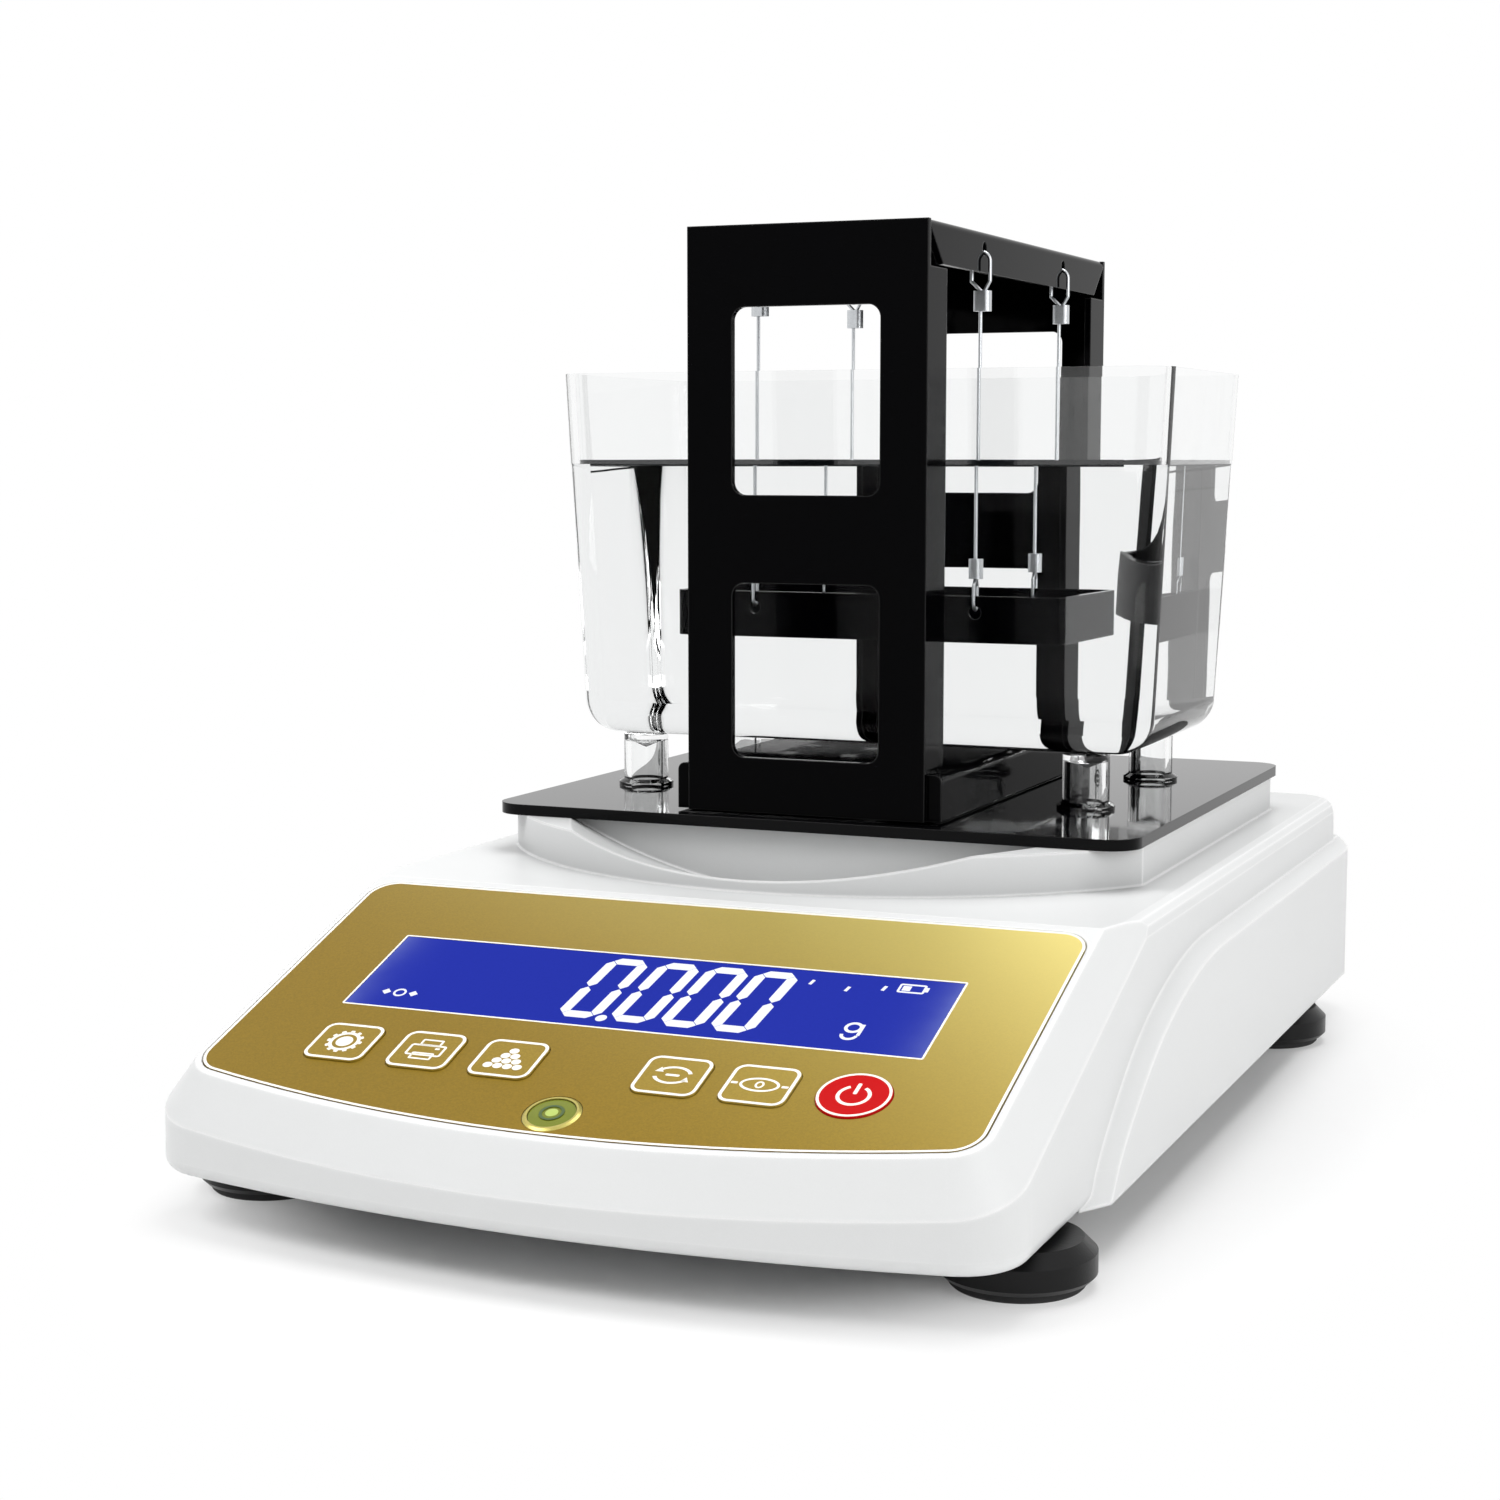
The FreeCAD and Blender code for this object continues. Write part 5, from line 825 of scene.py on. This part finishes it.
port_low, port_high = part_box("serial_port")
PORT_FACE = 1000 * port_high[1]
PORT_ACROSS, JACK_ACROSS, CONNECTOR_LEVEL, PIN_MIDDLE = 12, -62, 34, 178.5
CONTACT_PITCH, CONTACT_ROW, SCREW_SPREAD = 2.77, 1.4, 12.5
at_port = on_back(PORT_ACROSS, PORT_FACE, CONNECTOR_LEVEL)
insert = bmesh.new()
add_plate(insert, 0, 0, 17.5, 7.6, radius=1.6, thick=THIN_INK)
finish_piece("port_insert", insert, FINISHES["switch_black"], "housing", at_port)
contacts = bmesh.new()
for row, count in ((CONTACT_ROW, 5), (-CONTACT_ROW, 4)):
    for place in range(count):
        add_disc(contacts, (place - (count - 1) / 2) * CONTACT_PITCH, row, 0.55, thick=0.1, steps=16)
finish_piece("port_contacts", contacts, FINISHES["insert_brass"], "housing",
             on_back(PORT_ACROSS, PORT_FACE + THIN_INK, CONNECTOR_LEVEL))
screws = bmesh.new()
for x in (-SCREW_SPREAD, SCREW_SPREAD):
    add_disc(screws, x, 0, 2.3, band=1.0, thick=0.2, steps=6)
finish_piece("port_screws", screws, FINISHES["fastener_steel"], "housing", at_port)
pin = bmesh.new()
bmesh.ops.create_cone(pin, cap_ends=True, segments=24, radius1=1.0, radius2=0.8, depth=8.0)
finish_piece("jack_pin", pin, FINISHES["fastener_steel"], "housing",
             on_back(JACK_ACROSS, PIN_MIDDLE, CONNECTOR_LEVEL))

# %% [markdown]
# ## Water in the tank
#
# The tank is filled to about three quarters. The water is what makes the tray and the wires look wider
# than they are, so it has to be a real closed volume, not a tint. It starts as a cube with the tank's
# taper, the upright and the lower edges are rounded, and its sides reach almost through the acrylic, as
# said above.

# %% The water
tank_low, tank_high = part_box("tank")
TANK_X, TANK_Y, TANK_LOW, TANK_TALL = -3.0, 60.0, 97.0, 105.0
RIM_X, RIM_Y, TAPER_X, TAPER_Y, WALL = 90.5, 47.0, 5.0, 2.5, 2.5
WATER_TOP, WATER_FLOOR, SKIN, ROUNDING = 1000 * WATER_LINE, 97.2, 0.15, 9.85
FLAT_FACE = 1e-3


def half_size(level, inset):
    """Half width and half depth of the tank at a height above the bench, some way in from its outer skin."""
    share = (level - TANK_LOW) / TANK_TALL - 1
    return RIM_X + TAPER_X * share - inset, RIM_Y + TAPER_Y * share - inset


pool = bmesh.new()
bmesh.ops.create_cube(pool, size=2.0)
for vert in pool.verts:
    level = WATER_TOP if vert.co.z > 0 else WATER_FLOOR
    half_x, half_y = half_size(level, SKIN)
    vert.co = Vector((vert.co.x * half_x + TANK_X, vert.co.y * half_y + TANK_Y, level))
rounded = [e for e in pool.edges if min(v.co.z for v in e.verts) < WATER_TOP - 1]
bmesh.ops.bevel(pool, geom=rounded, offset=ROUNDING, segments=10, affect="EDGES", profile=0.5, material=-1)
pool_piece = finish_piece("tank_water", pool, water, "housing", smooth=True)
for face in pool_piece.data.polygons:
    face.use_smooth = face.area < FLAT_FACE
inside = half_size((TANK_LOW + WATER_TOP) / 2, WALL)
print("tank from", round(1000 * tank_low[2]), "to", round(1000 * tank_high[2]), "mm above the bench")
print("water litres:", round((WATER_TOP - TANK_LOW - WALL) * 4 * inside[0] * inside[1] / 1e6, 2))

# %% [markdown]
# Where the water touches the wall it climbs by about a millimetre, and this curved rim sends the light
# away, so it is seen as a fine dark line all round. A ring with the inside's rounded outline stands for
# it.

# %% The dark rim of the water
rim_grey = new_finish("water_rim", srgb("15181a"), 0.15, grain=1500, contrast=0.2, bump=0.05,
                      Specular_IOR_Level=0.3)
rim = bmesh.new()
inside = half_size(WATER_TOP, WALL + 0.05)
add_plate(rim, TANK_X, TANK_Y, 2 * inside[0], 2 * inside[1], radius=7.4, band=0.7, thick=1.5, steps=8)
rim_place = Matrix.Translation((0, 0, (WATER_TOP - 0.3) * MM))
finish_piece("water_rim", rim, rim_grey, "housing", rim_place)

# %% [markdown]
# ## Stage, light and camera
#
# The meter stands on a pale floor before a white background. The floor's shader is a matt white that
# fades into pure white for camera rays away from the part, so the shadow stays but the horizon does not
# show. Three large soft boxes and an even surround light it as in a product studio.

# %% Floor and surround
FLOOR_RADIUS, FLOOR_WHITE = 4.0, (0.86, 0.86, 0.86, 1)
FADE_START, FADE_END, FADE_SHAPE = 0.17, 0.27, (1.55, 1.0, 1.0)
SURROUND_LIGHT = 0.29
SEEN_BY = ("Is Camera Ray", "Is Transmission Ray", "Is Glossy Ray")


def any_ray(tree, *kinds):
    """One for rays of these kinds and zero for the others."""
    light_path = tree.nodes.new("ShaderNodeLightPath")
    found = light_path.outputs[kinds[0]]
    for kind in kinds[1:]:
        found = add_math(tree, "MAXIMUM", found, light_path.outputs[kind])
    return found


def build_floor():
    bm = bmesh.new()
    bmesh.ops.create_circle(bm, cap_ends=True, radius=FLOOR_RADIUS, segments=96)
    mesh = bpy.data.meshes.new("floor")
    bm.to_mesh(mesh)
    bm.free()
    obj = bpy.data.objects.new("floor", mesh)
    scene.collection.objects.link(obj)
    material = bpy.data.materials.new("studio_floor")
    material.use_nodes = True
    tree = material.node_tree
    shader = tree.nodes["Principled BSDF"]
    shader.inputs["Roughness"].default_value = 0.8
    shader.inputs["Specular IOR Level"].default_value = 0.1
    coordinates = tree.nodes.new("ShaderNodeTexCoord")
    speckle = use_group(tree, grain_group, Colour=FLOOR_WHITE, Scale=300.0, Contrast=0.01)
    tree.links.new(speckle.outputs["Colour"], shader.inputs["Base Color"])
    length = tree.nodes.new("ShaderNodeVectorMath")
    length.operation = "LENGTH"
    stretch = tree.nodes.new("ShaderNodeVectorMath")
    stretch.operation = "MULTIPLY"
    stretch.inputs[1].default_value = FADE_SHAPE
    tree.links.new(coordinates.outputs["Object"], stretch.inputs[0])
    tree.links.new(stretch.outputs[0], length.inputs[0])
    spread = tree.nodes.new("ShaderNodeMapRange")
    spread.interpolation_type = "SMOOTHSTEP"
    spread.inputs["From Min"].default_value = FADE_START
    spread.inputs["From Max"].default_value = FADE_END
    tree.links.new(length.outputs["Value"], spread.inputs["Value"])
    glow = add_math(tree, "MULTIPLY", any_ray(tree, *SEEN_BY), spread.outputs["Result"])
    shine = tree.nodes.new("ShaderNodeEmission")
    shine.inputs["Color"].default_value = (1, 1, 1, 1)
    blend = tree.nodes.new("ShaderNodeMixShader")
    tree.links.new(glow, blend.inputs["Fac"])
    tree.links.new(shader.outputs["BSDF"], blend.inputs[1])
    tree.links.new(shine.outputs["Emission"], blend.inputs[2])
    tree.links.new(blend.outputs["Shader"], tree.nodes["Material Output"].inputs["Surface"])
    mesh.materials.append(material)


build_floor()
world = bpy.data.worlds.new("studio")
scene.world = world
world.use_nodes = True
world_tree = world.node_tree
background = world_tree.nodes["Background"]
background.inputs["Color"].default_value = (1, 1, 1, 1)
seen = any_ray(world_tree, *SEEN_BY)
strength = add_math(world_tree, "MULTIPLY_ADD", seen, 1 - SURROUND_LIGHT, SURROUND_LIGHT)
world_tree.links.new(strength, background.inputs["Strength"])
print("floor and surround are ready")

# %% [markdown]
# The lamps are area lights aimed at the middle of the part. The key light is high on the left, the fill
# is low on the right, and a broad one overhead brightens all that faces up and leaves the scoop under the
# plate in shade.

# %% Lamps
AIM = Vector((0.0, 0.0, 0.08))


def add_softbox(name, place, size, power):
    lamp = bpy.data.lights.new(name, "AREA")
    lamp.shape = "SQUARE"
    lamp.size = size
    lamp.energy = power
    obj = bpy.data.objects.new(name, lamp)
    obj.location = place
    obj.rotation_euler = (AIM - Vector(place)).to_track_quat("-Z", "Y").to_euler()
    scene.collection.objects.link(obj)


add_softbox("key_softbox", (-0.8, -0.7, 1.25), 0.7, 12.0)
add_softbox("fill_softbox", (1.3, -0.6, 0.6), 0.8, 8.4)
add_softbox("top_softbox", (0.1, 0.35, 1.6), 0.9, 15.5)

# %% [markdown]
# ## Camera
#
# The camera was found by fitting the model's corners to the photograph: a 61.6 mm lens, 23 degrees to the
# right of the front and hardly above the water line, looking 6.6 degrees down.

# %% Camera
LENS, LOOK_DOWN, LOOK_LEFT = 61.646, 6.562, 23.32
CAMERA_PLACE = (0.256557, -0.655189, 0.178728)
camera_data = bpy.data.cameras.new("camera")
camera_data.sensor_width = 36.0
camera_data.lens = LENS
camera = bpy.data.objects.new("camera", camera_data)
camera.location = CAMERA_PLACE
camera.rotation_euler = (math.radians(90 - LOOK_DOWN), 0, math.radians(LOOK_LEFT))
scene.collection.objects.link(camera)
scene.camera = camera
scene.view_settings.view_transform = "Standard"
print("camera", round((camera.location - Vector((0, 0, 0.1))).length, 3), "m from the middle")

# %% The json module, imported once more
import json
